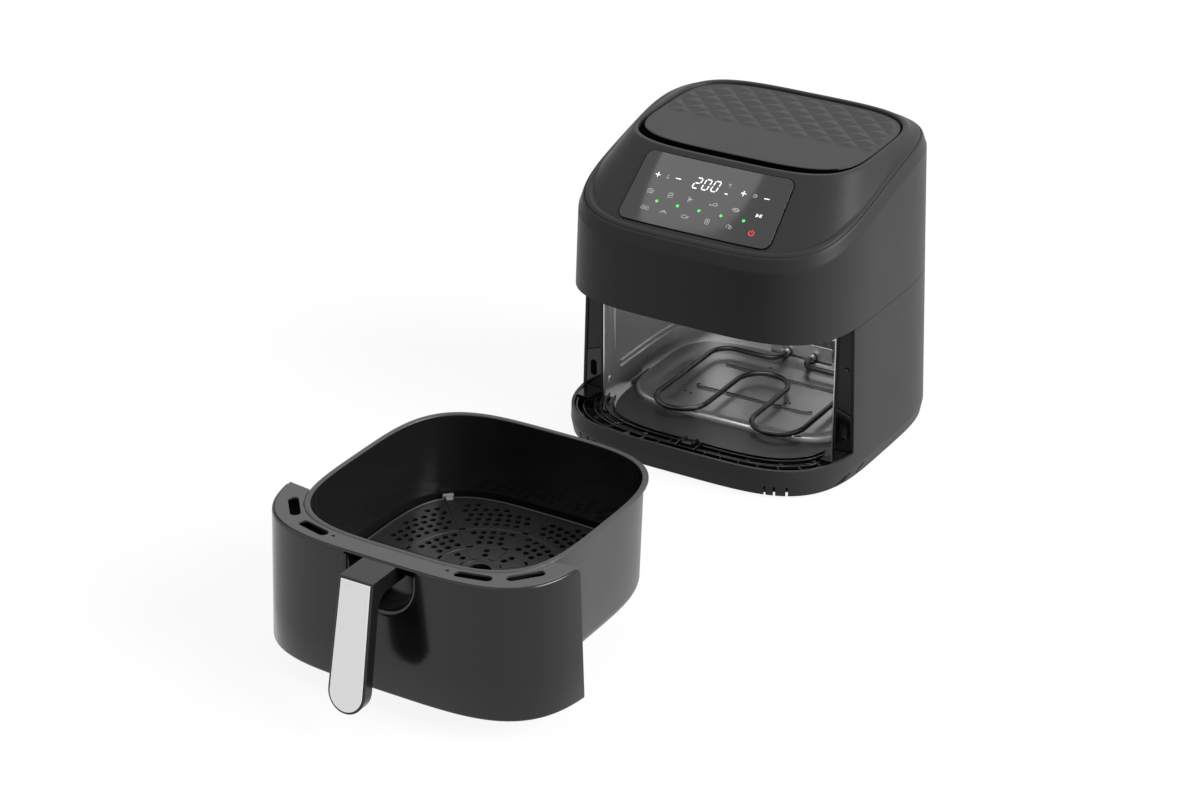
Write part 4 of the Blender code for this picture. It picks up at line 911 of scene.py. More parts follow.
class AIRFRYER_OT_opening(bpy.types.Operator):
    """Black bezel with its ribs and pockets, catch and the uprights beside the opening"""
    bl_idname = "airfryer.opening"
    bl_label = "Opening"

    def execute(self, context):
        low = LIP_TOP - BEZEL_DEPTH
        self.bezel(low)
        self.catch(low)
        for side, name in ((-1, "left"), (1, "right")):
            self.upright(side, name)
        finish_nodes("matt_moulded_pp", "door_switch")
        # Painted shade: the plunger's red is darkened almost to black, the shade of its hole
        finish_nodes("switch_pom", "switch_plunger")
        return {"FINISHED"}

    def bezel(self, low):
        # A sunken floor, six ribs along it (share across, width, height) and short ones across it
        build = bmesh.new()
        outline = bezel_arc(0) + list(reversed(bezel_arc(1)))
        prism(build, outline, low, low + 2.2 * MM)
        for share, width, high in ((0.02, 2.0, 11.5), (0.20, 1.6, 8.5), (0.47, 1.8, 7.0), (0.62, 1.2, 5.0),
                                   (0.78, 1.8, 6.5), (0.98, 1.6, 5.5)):
            rail(build, bezel_arc(share), width * MM, low, low + high * MM, chamfer=0.35 * MM)
        inner, outer = bezel_arc(0.22), bezel_arc(0.46)
        for index in range(6, 86, 5):
            if index not in (41, 46):  # the catch stands there
                rail(build, [outer[index], inner[index]], 1.4 * MM, low, low + 6.6 * MM)
        inner, outer = bezel_arc(0.48), bezel_arc(0.77)
        for index in range(10, 84, 9):
            rail(build, [outer[index], inner[index]], 2.4 * MM, low, low + 4.6 * MM)
        for side in (-1, 1):
            block(build, (18 * MM, 26 * MM, 13 * MM), at(side * 145 * MM, -86 * MM, LIP_TOP - 7 * MM))
        piece("front_bezel", build, "polished_abs", "housing", "gloss_black", ["front_bezel"], 0.2 * MM,
              2, place=at(y=AXIS_Y))

    def catch(self, low):
        """Two pairs of cheeks with a bar and a roller between them."""
        catch = bmesh.new()
        for side in (-1, 1):
            block(catch, (3.2 * MM, 12 * MM, 12 * MM), at(side * 6.5 * MM, -127 * MM, low + 6 * MM))
            block(catch, (1.6 * MM, 18 * MM, 8 * MM), at(side * 11 * MM, -130 * MM, low + 5 * MM))
        block(catch, (14 * MM, 4 * MM, 6 * MM), at(0, -124 * MM, low + 5 * MM))
        disc(catch, 2.6 * MM, 12 * MM, at(0, -131 * MM, low + 9 * MM) @ turned(90, "Y"))
        piece("drawer_catch", catch, "polished_abs", "housing", "gloss_black", ["drawer_catch"], 0.5 * MM,
              2, place=at(y=AXIS_Y))

    def upright(self, side, name):
        """Dark upper cover and glossy lower insert of one upright, with its oval hole."""
        face_y = AXIS_Y + OPENING_BACK + 0.9 * MM
        inner, low, high = 138.2 * MM, LIP_TOP - 12 * MM, OPENING_TOP - 1.5 * MM

        narrowing = (1 - 0.045) ** 0.25  # the plan's width at the opening's rear over its full width

        def wide(z):
            return housing_half(z)[0] * narrowing - 3.3 * MM - 0.5 * MM

        joint_in, joint_out = 78 * MM, 72 * MM
        cover = bmesh.new()
        outline = [(side * inner, joint_in), (side * wide(joint_out), joint_out), (side * wide(high), high),
                   (side * inner, high)]
        prism(cover, outline if side > 0 else list(reversed(outline)), -2.4 * MM, 0)
        made = raw(f"{name}_pillar_cover", cover, "pillar_abs", place=at(y=face_y) @ UPRIGHT)
        if side > 0:
            cut(made, disc(bmesh.new(), 2.3 * MM, 40 * MM, at(*middle("switch_plunger")) @ UPRIGHT))
        dress(made, "housing", "housing_plastic", [f"{name}_pillar_cover"], 0.5 * MM, 2)

        insert = bmesh.new()
        outline = [(side * inner, low), (side * wide(low), low),
                   (side * wide(joint_out), joint_out - 0.5 * MM), (side * inner, joint_in - 0.5 * MM)]
        prism(insert, outline if side > 0 else list(reversed(outline)), -2.8 * MM, 0.5 * MM)
        made = raw(f"{name}_pillar_insert", insert, "polished_abs", place=at(y=face_y) @ UPRIGHT)
        hole = prism(bmesh.new(), rounded_rectangle(3.6 * MM, 9 * MM, 3.55 * MM), -8 * MM, 8 * MM)
        cut(made, moved(hole, at(side * 147.5 * MM, face_y, 52 * MM) @ UPRIGHT))
        dress(made, "housing", "gloss_black", (), 0.5 * MM, 2)
        wall = block(bmesh.new(), (2.2 * MM, 9 * MM, high - low - 2 * MM),
                     at(side * 137.6 * MM, AXIS_Y + OPENING_BACK + 4.5 * MM, (high + low) / 2))
        piece(f"{name}_pillar_side", wall, "matt_moulded_pp", "housing", "inner_plastic", (), 0.3 * MM, 2)


class AIRFRYER_OT_cavity(bpy.types.Operator):
    """Steel liner with its pressed ribs, dark apron, reflector tray and element bracket"""
    bl_idname = "airfryer.cavity"
    bl_label = "Cavity"

    def execute(self, context):
        self.liner()
        self.apron()
        self.tray()
        return {"FINISHED"}

    def liner(self):
        start = -math.asin(71 / 137) * 0.9  # the liner ends short of the opening on both sides
        levels = (13.9, 18, 30, 80, 140, 206)
        rings = [rounded_square(LINER_HALF_X, LINER_HALF_Y, SQUARENESS, z * MM, 0.0, start,
                                math.pi - start, 120) for z in levels]
        made = raw("cavity_liner", skin(bmesh.new(), rings, closed=False), "brushed_stainless",
                   place=at(y=AXIS_Y), solid=False)
        thicken(made, 1.2 * MM, 1.0)
        dress(made, "housing", "bare_steel", ["cavity_liner"])
        # Pressed beads (height, width, first and last point), then a rib and a rivet on each side
        beads = bmesh.new()
        wall = rounded_square(LINER_HALF_X - 0.6 * MM, LINER_HALF_Y - 0.6 * MM, SQUARENESS, 0.0, 0.0,
                              start, math.pi - start, 120)
        for z, wide, first, last in ((47, 3.2, 6, 113), (41, 1.6, 6, 113), (90, 3.0, 34, 86),
                                     (150, 3.0, 34, 86)):
            rail(beads, wall[first:last], 2.4 * MM, (z - wide / 2) * MM, (z + wide / 2) * MM,
                 chamfer=0.6 * MM)
        for side in (-1, 1):
            rail(beads, [(side * 136.6 * MM, y * MM) for y in (-47.5, -44.5)], 2.4 * MM, 56 * MM, 165 * MM,
                 chamfer=0.6 * MM)
            disc(beads, 3.4 * MM, 2.4 * MM, at(side * 136 * MM, -58 * MM, 36 * MM) @ turned(90, "Y"))
        piece("liner_beads", beads, "brushed_stainless", "housing", "bare_steel", (), 0.3 * MM, 2,
              place=at(y=AXIS_Y))

    def apron(self):
        apron = bmesh.new()
        front = front_arc(APRON_HALF_X, APRON_HALF_Y, APRON_POWER, 0, -18 * MM, 90)
        back = [(134 * MM, -18 * MM), (134 * MM, 20 * MM), (-134 * MM, 20 * MM), (-134 * MM, -18 * MM)]
        prism(apron, front + back, 14.1 * MM, 16.6 * MM)
        piece("cavity_apron", apron, "enamelled_apron", "housing", "bare_steel", (), 0.6 * MM,
              place=at(y=AXIS_Y))
        finish_nodes("brushed_stainless", "cavity_floor", "cavity_roof")

    def tray(self):
        """The tray with the props and holes on it, and the bracket that holds the element's ends."""
        # Growth and height in millimetres, up from the skirt's foot, over the rolled rim and inwards
        tray = bmesh.new()
        levels = ((0, 0.3), (-0.5, 4.4), (-1.4, 5.9), (-3.0, 6.5), (-4.6, 6.0), (-16.5, 2.6), (-18.5, 1.6),
                  (-21, 1.2), (-40, 1.2))
        rings = [rounded_square(TRAY_HALF_X + grow * MM, TRAY_HALF_Y + grow * MM, SQUARENESS,
                                FLOOR_Z + z * MM, TRAY_Y) for grow, z in levels]
        skin(tray, rings, last=True)
        made = raw("reflector_tray", tray, "baked_tray_steel", place=at(y=AXIS_Y), solid=False)
        thicken(made, 0.6 * MM)
        dress(made, "housing", "bare_steel", ["reflector_tray"])

        wires = (((-65, 70), (0, 69), (69, 70)),
                 ((-66, 13), (-67.5, 10), (-65, 7.5), (-58, 8), (0, 9.5), (58, 9), (64, 10), (69, 14)))
        paths = [[Vector((x * MM, AXIS_Y + y * MM, FLOOR_Z + 2.6 * MM)) for x, y in wire] for wire in wires]
        tube("element_props", paths, 0.9 * MM, "oxidised_sheath", "housing", "element_sheath")
        # Painted shade: flat near-black discs on the tray stand for its holes
        holes = bmesh.new()
        for x, y in ((-72, -8), (-64, -10), (38, 22), (36, 14), (34, 20), (95, -42), (-20, 88)):
            disc(holes, 1.3 * MM, 0.3 * MM, at(x * MM, AXIS_Y + y * MM, FLOOR_Z + 1.3 * MM), 16)
        piece("tray_holes", holes, "dark_slot", "housing", "bare_steel")

        bracket = bmesh.new()
        block(bracket, (74 * MM, 1.6 * MM, 24 * MM), at(0, 121 * MM, 27 * MM))
        block(bracket, (74 * MM, 12 * MM, 1.6 * MM), at(0, 115.5 * MM, 15.8 * MM))
        made = raw("element_bracket", bracket, "brushed_stainless", place=at(y=AXIS_Y))
        cut(made, disc(bmesh.new(), 3.4 * MM, 20 * MM, at(-22 * MM, AXIS_Y + 121 * MM, 28 * MM) @ UPRIGHT))
        dress(made, "housing", "bare_steel", ["element_bracket"], 0.5 * MM, 2)


def lower_element_path():
    """Right half of the M-shaped element, from its terminal to the middle of the centre loop."""
    outer_x, inner_x, tip_y, bend, rear_y, centre_top = 86, 28.5, -67, 22, 93, 57
    loop_x, loop_radius = (outer_x + inner_x) / 2, (outer_x - inner_x) / 2
    path = [Vector(p) for p in ((15.5, rear_y + 26), (15.6, rear_y + 13), (16.5, rear_y + 8),
                                (19, rear_y + 4), (22.5, rear_y + 1.2), (27, rear_y))]
    path += arc((outer_x - bend, rear_y - bend), bend, math.pi / 2, 0, 14)
    path += arc((loop_x, tip_y + loop_radius), loop_radius, 0, -math.pi, 28)
    path += arc((0, centre_top - inner_x), inner_x, 0, math.pi / 2, 14)
    return path


class AIRFRYER_OT_elements(bpy.types.Operator):
    """Lower and upper heating elements with the guard between them"""
    bl_idname = "airfryer.elements"
    bl_label = "Heating elements"

    def execute(self, context):
        right = lower_element_path()
        left = [Vector((-p.x, p.y)) for p in reversed(right[:-1])]
        turn = [math.radians(100 + angle) for angle in range(0, 341, 4)]
        ring = [Vector((84 * math.cos(angle), 84 * math.sin(angle))) for angle in turn]
        radius = sizes().element
        for node, points in (("lower_heating_element", right + left), ("upper_heating_element", ring)):
            z = middle(node).z
            path = [Vector((p.x * MM, AXIS_Y + p.y * MM, z)) for p in points]
            tube(node, [path], radius, "oxidised_sheath", "housing", "element_sheath", [node])
        ferrules = bmesh.new()
        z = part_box("lower_heating_element")[0].z + radius
        for side in (-1, 1):
            disc(ferrules, 4.0 * MM, 6 * MM, at(side * 15.5 * MM, AXIS_Y + 115 * MM, z) @ UPRIGHT, 24)
        piece("element_ferrules", ferrules, "zinc_plated", "housing", "fastener", (), 0.5 * MM, 2)
        finish_nodes("brushed_stainless", "element_guard")
        return {"FINISHED"}


class AIRFRYER_OT_inner_works(bpy.types.Operator):
    """Fan, motor, boards, base, feet and rear fittings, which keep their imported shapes"""
    bl_idname = "airfryer.inner_works"
    bl_label = "Inner works"

    def execute(self, context):
        finish_nodes("brushed_stainless", "hot_air_fan", "fan_shaft", "motor_bracket")
        finish_nodes("matt_moulded_pp", "cooling_fan", "base_plate", "board_carrier", "rear_exhaust_grille")
        corners = ("front_left", "front_right", "rear_left", "rear_right")
        finish_nodes("zinc_plated", "fan_nut", *[f"base_screw_{corner}" for corner in corners])
        finish_nodes("motor_can", "fan_motor")
        finish_nodes("laminate_board", "control_board", "power_board")
        for corner in corners:
            node = f"foot_{corner}"
            low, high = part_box(node)
            radius = (high.x - low.x) / 2
            foot = spun([(radius - 2.2 * MM, low.z), (radius - 0.9 * MM, low.z + 0.3 * MM),
                         (radius, low.z + 1.4 * MM), (radius, high.z)])
            piece(node, foot, "foot_rubber", "housing", "rubber_foot", [node], place=at(*middle(node).xy))
        low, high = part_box("rear_spacer")
        made = raw("rear_spacer", block(bmesh.new(), high - low, at(*middle("rear_spacer"))),
                   "matt_moulded_pp")
        grooves = bmesh.new()
        for x in range(-24, 25, 6):
            block(grooves, (2 * MM, 2 * MM, 30 * MM), at(x * MM, high.y, middle("rear_spacer").z))
        cut(made, grooves)
        dress(made, "housing", "inner_plastic", ["rear_spacer"], 0.8 * MM, 3)
        low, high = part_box("cord_inlet")
        radius = (high.x - low.x) / 2
        end = high.y - low.y
        gland = spun([(radius, 0), (radius, 6 * MM), (radius - 1.5 * MM, 7.5 * MM), (5.6 * MM, 9 * MM),
                      (5.2 * MM, end), (3.6 * MM, end), (3.4 * MM, 4 * MM)])
        place = at(middle("cord_inlet").x, low.y, middle("cord_inlet").z)
        piece("cord_inlet", gland, "matt_moulded_pp", "housing", "housing_plastic", ["cord_inlet"],
              place=place @ turned(-90, "X"))
        return {"FINISHED"}


# ---------------------------------------------------------------- drawer

PANEL_BACK = OPENING_BACK - 0.8 * MM
WING_ROUND = 6 * MM


def sweep(build, rows):
    """A bar whose rows are the corners of its section, carried along an arc; its ends are capped."""
    lines = [[build.verts.new(point) for point in row] for row in rows]
    for one, two in zip(lines, lines[1:] + lines[:1]):
        for index in range(len(one) - 1):
            build.faces.new((one[index], one[index + 1], two[index + 1], two[index]))
    build.faces.new([line[0] for line in lines])
    build.faces.new([line[-1] for line in reversed(lines)])
    return build


def panel_arc(z, inset, count=140):
    """The drawer panel's plan at a height above its foot, with the wings' top corners rounded off."""
    half_x, half_y = housing_half(z + DRAWER_DROP)
    below_top = RIM_Z - 0.4 * MM - z
    trim = 0.0
    if below_top < WING_ROUND:
        trim = WING_ROUND - math.sqrt(max(0.0, WING_ROUND ** 2 - (WING_ROUND - below_top) ** 2))
    inset += PANEL_INSET
    arc_points = front_arc(half_x - inset, half_y - inset, SQUARENESS, z, PANEL_BACK - trim, count)
    return [point - Vector((0, DRAWER_HOME, 0)) for point in arc_points]


def scoop_path(grow, top=-3.4 * MM):
    """The finger scoop from the front: straight at its top and a half round below."""
    half, depth = 37 * MM + grow, 52.5 * MM + grow
    below = arc((0, -depth + half), half, -math.pi, 0, 28)
    return [Vector((-half, top))] + below + [Vector((half, top))]


class AIRFRYER_OT_pan(bpy.types.Operator):
    """Pan with a rolled rim: glossy coating inside, grey paint outside"""
    bl_idname = "airfryer.pan"
    bl_label = "Pan"

    def execute(self, context):
        corner, taper, sheet = 16 * MM, 3 * MM, 1.5 * MM
        # Half widths and heights: the rolled rim, the tapered wall and the round corner to the bottom
        rings = [(PAN_HALF + grow * MM, z * MM) for grow, z in (
            (5.0, -2.6), (5.0, -0.8), (4.6, -0.25), (3.9, 0.0), (1.3, 0.0), (0.5, -0.2), (0.05, -0.9),
            (0, -3))]
        rings += [(PAN_HALF - taper * share, -3 * MM - share * (PAN_DEPTH - corner - 3 * MM)) for share in (
            0.33, 0.66, 1.0)]
        for step in range(1, 10):
            angle = math.pi / 2 * step / 9
            rings.append((PAN_HALF - taper - corner * (1 - math.cos(angle)),
                          -PAN_DEPTH + sheet + corner * (1 - math.sin(angle))))
        build = skin(bmesh.new(), [rounded_square(size, size, PAN_SQUARENESS, z) for size, z in rings],
                     last=True)
        made = raw("pan", build, "painted_pan", "non_stick_coat", place=at(0, PAN_Y, RIM_Z), solid=False)
        thicken(made, sheet)
        for face in made.data.polygons:
            outwards = Vector((face.center.x, face.center.y - PAN_Y, 0)).normalized()
            inside = face.normal.dot(outwards) < -0.15 or face.normal.z > 0.15
            face.material_index = int(inside and face.center.z < RIM_Z - 1.2 * MM)
        dress(made, "drawer", "non_stick", ["pan"], sharp=50)
        finish_nodes("brushed_stainless", "pan_bracket_left", "pan_bracket_right")
        finish_nodes("zinc_plated", "handle_screw_left", "handle_screw_right")
        return {"FINISHED"}


class AIRFRYER_OT_drawer_panel(bpy.types.Operator):
    """Curved front panel with its finger scoop, and the slotted trim on its top"""
    bl_idname = "airfryer.drawer_panel"
    bl_label = "Drawer panel"

    def execute(self, context):
        self.front()
        self.scoop()
        self.trim()
        return {"FINISHED"}

    def front(self):
        low, high = RIM_Z - PANEL_HEIGHT, RIM_Z - 0.4 * MM
        # Heights and insets of the panel's outside from its foot up, then of its inside down
        outside = [(low, 1.6), (low + 0.8 * MM, 0.5), (low + 2.4 * MM, 0.0), (low + 40 * MM, 0.0),
                   (low + 90 * MM, 0.0), (high - 6 * MM, 0.0), (high - 4 * MM, 0.0), (high - 2.4 * MM, 0.0),
                   (high - 1.1 * MM, 0.15), (high - 0.35 * MM, 0.6), (high, 1.2), (high - 0.3 * MM, 1.6)]
        inside = [(high - 3.6 * MM, 1.8), (high - 3.6 * MM, 3.0), (low + 60 * MM, 3.0), (low, 3.0)]
        rows = [panel_arc(z, inset * MM) for z, inset in outside + inside]
        made = raw("front_panel", sweep(bmesh.new(), rows), "panel_abs", place=at(y=PAN_Y))
        hole = prism(bmesh.new(), scoop_path(1.0 * MM, -1.7 * MM), -15 * MM, 15 * MM)
        front_y = panel_arc(RIM_Z - 30 * MM, 0)[70].y
        cut(made, moved(hole, at(0, PAN_Y + front_y, RIM_Z) @ UPRIGHT))
        dress(made, "drawer", "panel_plastic", ["front_panel"], sharp=40)

    def scoop(self):
        """Its lining turns in from the panel's face and runs back to the shield behind the handle."""
        lining = bmesh.new()
        back_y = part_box("handle_shield")[0].y - PAN_Y - 0.2 * MM
        rings = []
        bend = 4.0 * MM
        turns = [(1.0 * MM - bend * math.sin(t), bend * (1 - math.cos(t))) for t in (
            0, 0.25, 0.55, 0.85, 1.15, 1.4, math.pi / 2)]
        for grow, depth in turns + [(-3.2 * MM, None)]:
            ring = []
            for x, z in scoop_path(grow):
                half_y = housing_half(RIM_Z + z + DRAWER_DROP)[1] - PANEL_INSET + DRAWER_HOME
                face_y = 0.05 * MM - half_y * (1 - abs(x / HALF_WIDTH) ** SQUARENESS) ** (1 / SQUARENESS)
                ring.append(Vector((x, back_y if depth is None else depth + face_y, z)))
            rings.append(ring)
        skin(lining, list(reversed(rings)), closed=False)
        made = raw("scoop_lining", lining, "panel_abs", place=at(0, PAN_Y, RIM_Z), solid=False)
        thicken(made, 0.8 * MM)
        dress(made, "drawer", "panel_plastic", (), sharp=60)
        plate = prism(bmesh.new(), scoop_path(-0.4 * MM), 0, 2 * MM)
        piece("handle_shield", plate, "panel_abs", "drawer", "gloss_black", ["handle_shield"], 0.3 * MM,
              2, place=at(0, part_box("handle_shield")[1].y, RIM_Z) @ UPRIGHT)

    def trim(self):
        """It lies between the panel and the pan's rim, over a near-black sheet of painted shade seen through
        its slots.
        """
        flange = PAN_HALF + 5.4 * MM
        half_x, half_y = [half - PANEL_INSET - 2.0 * MM for half in housing_half(RIM_Z + DRAWER_DROP)]
        outer = [p - Vector((0, DRAWER_HOME, 0)) for p in front_arc(half_x, half_y, SQUARENESS, 0,
                                                                    PANEL_BACK, 110)]
        outline = outer + list(reversed(front_arc(flange, flange, PAN_SQUARENESS, 0, -80 * MM, 90)))
        trim = prism(bmesh.new(), outline, -2.6 * MM, 0)
        made = raw("panel_trim", trim, "trim_abs", place=at(0, PAN_Y, RIM_Z))
        slots = bmesh.new()
        for side in (-1, 1):
            for x, y, tilt in ((84, -137, 13), (122.5, -113, 50)):
                shape = rounded_rectangle(17.5 * MM, 4.9 * MM, 4.85 * MM)
                place = at(side * x * MM, PAN_Y + y * MM, RIM_Z) @ turned(tilt * side)
                join(slots, moved(prism(bmesh.new(), shape, -6 * MM, 4 * MM), place))
        cut(made, slots)
        dress(made, "drawer", "panel_plastic", ["panel_trim"], 0.55 * MM, angle=50)
        # Painted shade: a near-black sheet under the trim, seen through its slots
        under = prism(bmesh.new(), outline, -8 * MM, -7 * MM)
        piece("trim_floor", under, "dark_slot", "drawer", "panel_plastic", place=at(0, PAN_Y, RIM_Z))
        marks = bmesh.new()
        for side in (-1, 1):
            arrow = [((side * 60 + x) * MM, (y - 140) * MM)
                     for x, y in ((-2.2, -1.2), (2.2, -1.2), (0, 1.8))]
            prism(marks, arrow, -0.5 * MM, 0.12 * MM)
        piece("trim_marks", marks, "dark_slot", "drawer", "panel_plastic", place=at(0, PAN_Y, RIM_Z))


# The handle from the front and from the side
HANDLE_TOP_HALF, HANDLE_END_HALF = 17.6 * MM, 19.4 * MM
HANDLE_LENGTH, HANDLE_LEAN = 122.2 * MM, 25.5 * MM
GRIP_THICK, ARM_HEIGHT = 12 * MM, 16 * MM


def handle_outline(inset=0.0):
    """A bar that widens downwards to a round end; its top lies at 0."""
    top, end = HANDLE_TOP_HALF - inset, HANDLE_END_HALF - inset
    below = arc((0, -HANDLE_LENGTH + HANDLE_END_HALF), end, -math.pi, 0, 40)
    return [Vector((-top, -inset))] + below + [Vector((top, -inset))]


class AIRFRYER_OT_handle(bpy.types.Operator):
    """Handle with a filleted arm and a brushed inlay on its front"""
    bl_idname = "airfryer.handle"
    bl_label = "Handle"

    def execute(self, context):
        low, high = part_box("handle_grip")
        top_z = high.z
        front_y = low.y + HANDLE_LEAN
        back_y = high.y

        def leaned(build):
            for vertex in build.verts:
                drop = max(0.0, top_z - vertex.co.z)
                vertex.co.y -= HANDLE_LEAN * drop / HANDLE_LENGTH
            return build

        grip = prism(bmesh.new(), handle_outline(), 0, back_y - front_y)
        made = raw("handle_grip", leaned(moved(grip, at(0, back_y, top_z) @ UPRIGHT)), "panel_abs")
        # Room for fingers behind the grip, filleted into the arm above it
        fillet = 12 * MM
        inner_y = front_y + GRIP_THICK
        corner = arc((inner_y + fillet, top_z - ARM_HEIGHT - fillet), fillet, math.pi / 2, math.pi, 10)
        profile = [(back_y + 40 * MM, top_z - ARM_HEIGHT), *corner, (inner_y, top_z - 180 * MM),
                   (back_y + 40 * MM, top_z - 180 * MM)]
        finger = bmesh.new()
        skin(finger, [[Vector((x, y, z)) for y, z in profile] for x in (-60 * MM, 60 * MM)], first=True,
             last=True)
        cut(made, leaned(finger))
        # A step under the arm, where it lies on the drawer's trim
        trim_front = PAN_Y - DRAWER_HOME - housing_half(RIM_Z + DRAWER_DROP)[1] + PANEL_INSET
        cut(made, block(bmesh.new(), (80 * MM, 60 * MM, 20 * MM),
                        at(0, trim_front + 1.4 * MM + 30 * MM, RIM_Z - 3.2 * MM + 10 * MM)))
        dress(made, "drawer", "panel_plastic", ["handle_grip"], 1.3 * MM, 4, 55)
        inlay = prism(bmesh.new(), handle_outline(2.4 * MM), 0, 0.9 * MM)
        inlay = leaned(moved(inlay, at(0, front_y + 0.1 * MM, top_z) @ UPRIGHT))
        piece("handle_inlay", inlay, "brushed_inlay", "drawer", "inlay_metal", ["handle_inlay"],
              0.35 * MM)
        return {"FINISHED"}


PLATE_HALF, PLATE_THICK = 122 * MM, 2 * MM
PLATE_DROP, LEG_REACH = 85 * MM, 111 * MM        # below the pan's rim, and out from the plate's middle


def radial_holes():
    """Holes in staggered rings that keep clear of the plate's ribs, its two round ribs and its edge."""
    radius, pitch = sizes().hole / 2, sizes().hole_pitch
    holes = []
    # The rings' radii; each ring has a multiple of 8 holes, one for each rib
    for row, reach in enumerate((27.5, 36, 52, 61.5, 71, 87.5, 97, 106.5, 116, 125.5)):
        reach *= MM
        count = int(math.tau * reach / pitch) // 8 * 8
        for index in range(count):
            angle = math.tau * (index + 0.5 * (row % 2)) / count
            x, y = reach * math.cos(angle), reach * math.sin(angle)
            from_rib = abs((angle + math.pi / 8) % (math.pi / 4) - math.pi / 8) * reach
            norm = ((abs(x) / PLATE_HALF) ** PAN_SQUARENESS + (abs(y) / PLATE_HALF) ** PAN_SQUARENESS)
            edge = PLATE_HALF * (1 - norm ** (1 / PAN_SQUARENESS))
            if from_rib > 4.4 * MM + radius and edge > 7.5 * MM + radius:
                holes.append(circle(radius, 14, x, y))
    return holes


class AIRFRYER_OT_crisper_plate(bpy.types.Operator):
    """Perforated plate with raised ribs, its legs and silicone bumpers"""
    bl_idname = "airfryer.crisper_plate"
    bl_label = "Crisper plate"

    def execute(self, context):
        top = RIM_Z - PLATE_DROP
        outer = [p.xy for p in rounded_square(PLATE_HALF, PLATE_HALF, PAN_SQUARENESS)]
        sheet = curve_mesh([outer, circle(11 * MM, 32)] + radial_holes(), "2D", True, fill_mode="BOTH",
                           extrude=PLATE_THICK / 2)
        build = bmesh.new()
        build.from_mesh(sheet)
        bmesh.ops.remove_doubles(build, verts=build.verts, dist=0.005 * MM)
        bmesh.ops.translate(build, vec=(0, 0, -PLATE_THICK / 2), verts=build.verts)
        ribs = bmesh.new()
        for index in range(8):
            angle = math.pi / 4 * index
            far = 118 * MM if index % 2 == 0 else 137 * MM
            direction = Vector((math.cos(angle), math.sin(angle), 0))
            rail(ribs, [direction * 19 * MM, direction * far], 7.2 * MM, -0.5 * MM, 0.5 * MM,
                 chamfer=0.3 * MM)
        for radius, width in ((44 * MM, 3.2 * MM), (79 * MM, 3.2 * MM), (18.5 * MM, 4.4 * MM)):
            ring = bmesh.new()
            rail(ring, circle(radius, 96), width, -0.5 * MM, 0.5 * MM, chamfer=0.3 * MM, closed=True)
            join(ribs, ring)
        edge = bmesh.new()
        rail(edge, rounded_square(PLATE_HALF - 1.4 * MM, PLATE_HALF - 1.4 * MM, PAN_SQUARENESS), 2.4 * MM,
             -1.2 * MM, 1.6 * MM, chamfer=0.6 * MM, closed=True)
        join(ribs, edge)
        leg_low = RIM_Z - PAN_DEPTH + 1.5 * MM + GAP - top
        for index in range(4):
            angle = math.pi / 4 + math.pi / 2 * index
            disc(ribs, 4.3 * MM, -leg_low - 0.5 * MM,
                 at(LEG_REACH * math.cos(angle), LEG_REACH * math.sin(angle), leg_low / 2 - 0.3 * MM))
        join(build, ribs)
        made = raw("crisper_plate", build, "plate_coat", place=at(0, PAN_Y, top))
        bpy.data.meshes.remove(sheet)
        dress(made, "crisper", "non_stick", ["crisper_plate"])
        for index in range(4):
            node = f"plate_bumper_{index + 1}"
            bumper = block(bmesh.new(), (3.5 * MM, 11 * MM, 9 * MM))
            block(bumper, (9 * MM, 7 * MM, 2.2 * MM), at(-4.4 * MM, 0, 2.6 * MM))
            made = raw(node, bumper, "grey_silicone", place=at(*middle(node)) @ turned(45 + 90 * index))
            dress(made, "crisper", "bumper_silicone", [node], 0.9 * MM, 3, 60)
        return {"FINISHED"}


# ---------------------------------------------------------------- stage

def seen_rays(tree):
    """1 for the rays by which a surface is seen, mirrored or seen through, and 0 for scattered light."""
    path = add(tree, "ShaderNodeLightPath")
    seen = add(tree, "ShaderNodeMath", {"operation": "MAXIMUM"},
               {0: path.outputs["Is Camera Ray"], 1: path.outputs["Is Glossy Ray"]})
    return add(tree, "ShaderNodeMath", {"operation": "MAXIMUM"},
               {0: seen.outputs[0], 1: path.outputs["Is Transmission Ray"]}).outputs[0]


def white_floor():
    """Painted floor: pale and matt with a faint 200 mm drift, lifted to white where it is seen."""
    tint = tuple(colours().floor)
    made, tree, shader = surface("white_floor", tint, {"Specular IOR Level": 0.0})
    grain(tree, shader, tint, 200, 0.0, 0.9, spread=0.005)
    share = add(tree, "ShaderNodeMath", {"operation": "MULTIPLY", 1: 0.76}, {0: seen_rays(tree)})
    lift = add(tree, "ShaderNodeEmission", {"Color": (1, 1, 1, 1), "Strength": 1.18})
    both = add(tree, "ShaderNodeMixShader", (), {0: share.outputs[0], 1: shader.outputs[0],
                                                 2: lift.outputs[0]})
    tree.links.new(both.outputs[0], tree.nodes["Material Output"].inputs["Surface"])
    return made


def bearing(azimuth, height):
    """The direction towards a place round the object: 0 degrees is in front and 90 to the right."""
    turn, tip = math.radians(azimuth), math.radians(height)
    return Vector((math.sin(turn) * math.cos(tip), -math.cos(turn) * math.cos(tip), math.sin(tip)))


def lamp(name, kind, strength, place, backwards=None, **settings):
    """A lamp at a place; it shines away from backwards, or straight down."""
    data = bpy.data.lights.new(name, kind)
    data.energy = strength
    for key, value in settings.items():
        setattr(data, key, value)
    holder = put(name, data)
    holder.location = place
    if backwards is not None:
        holder.rotation_euler = backwards.to_track_quat("Z", "Y").to_euler()


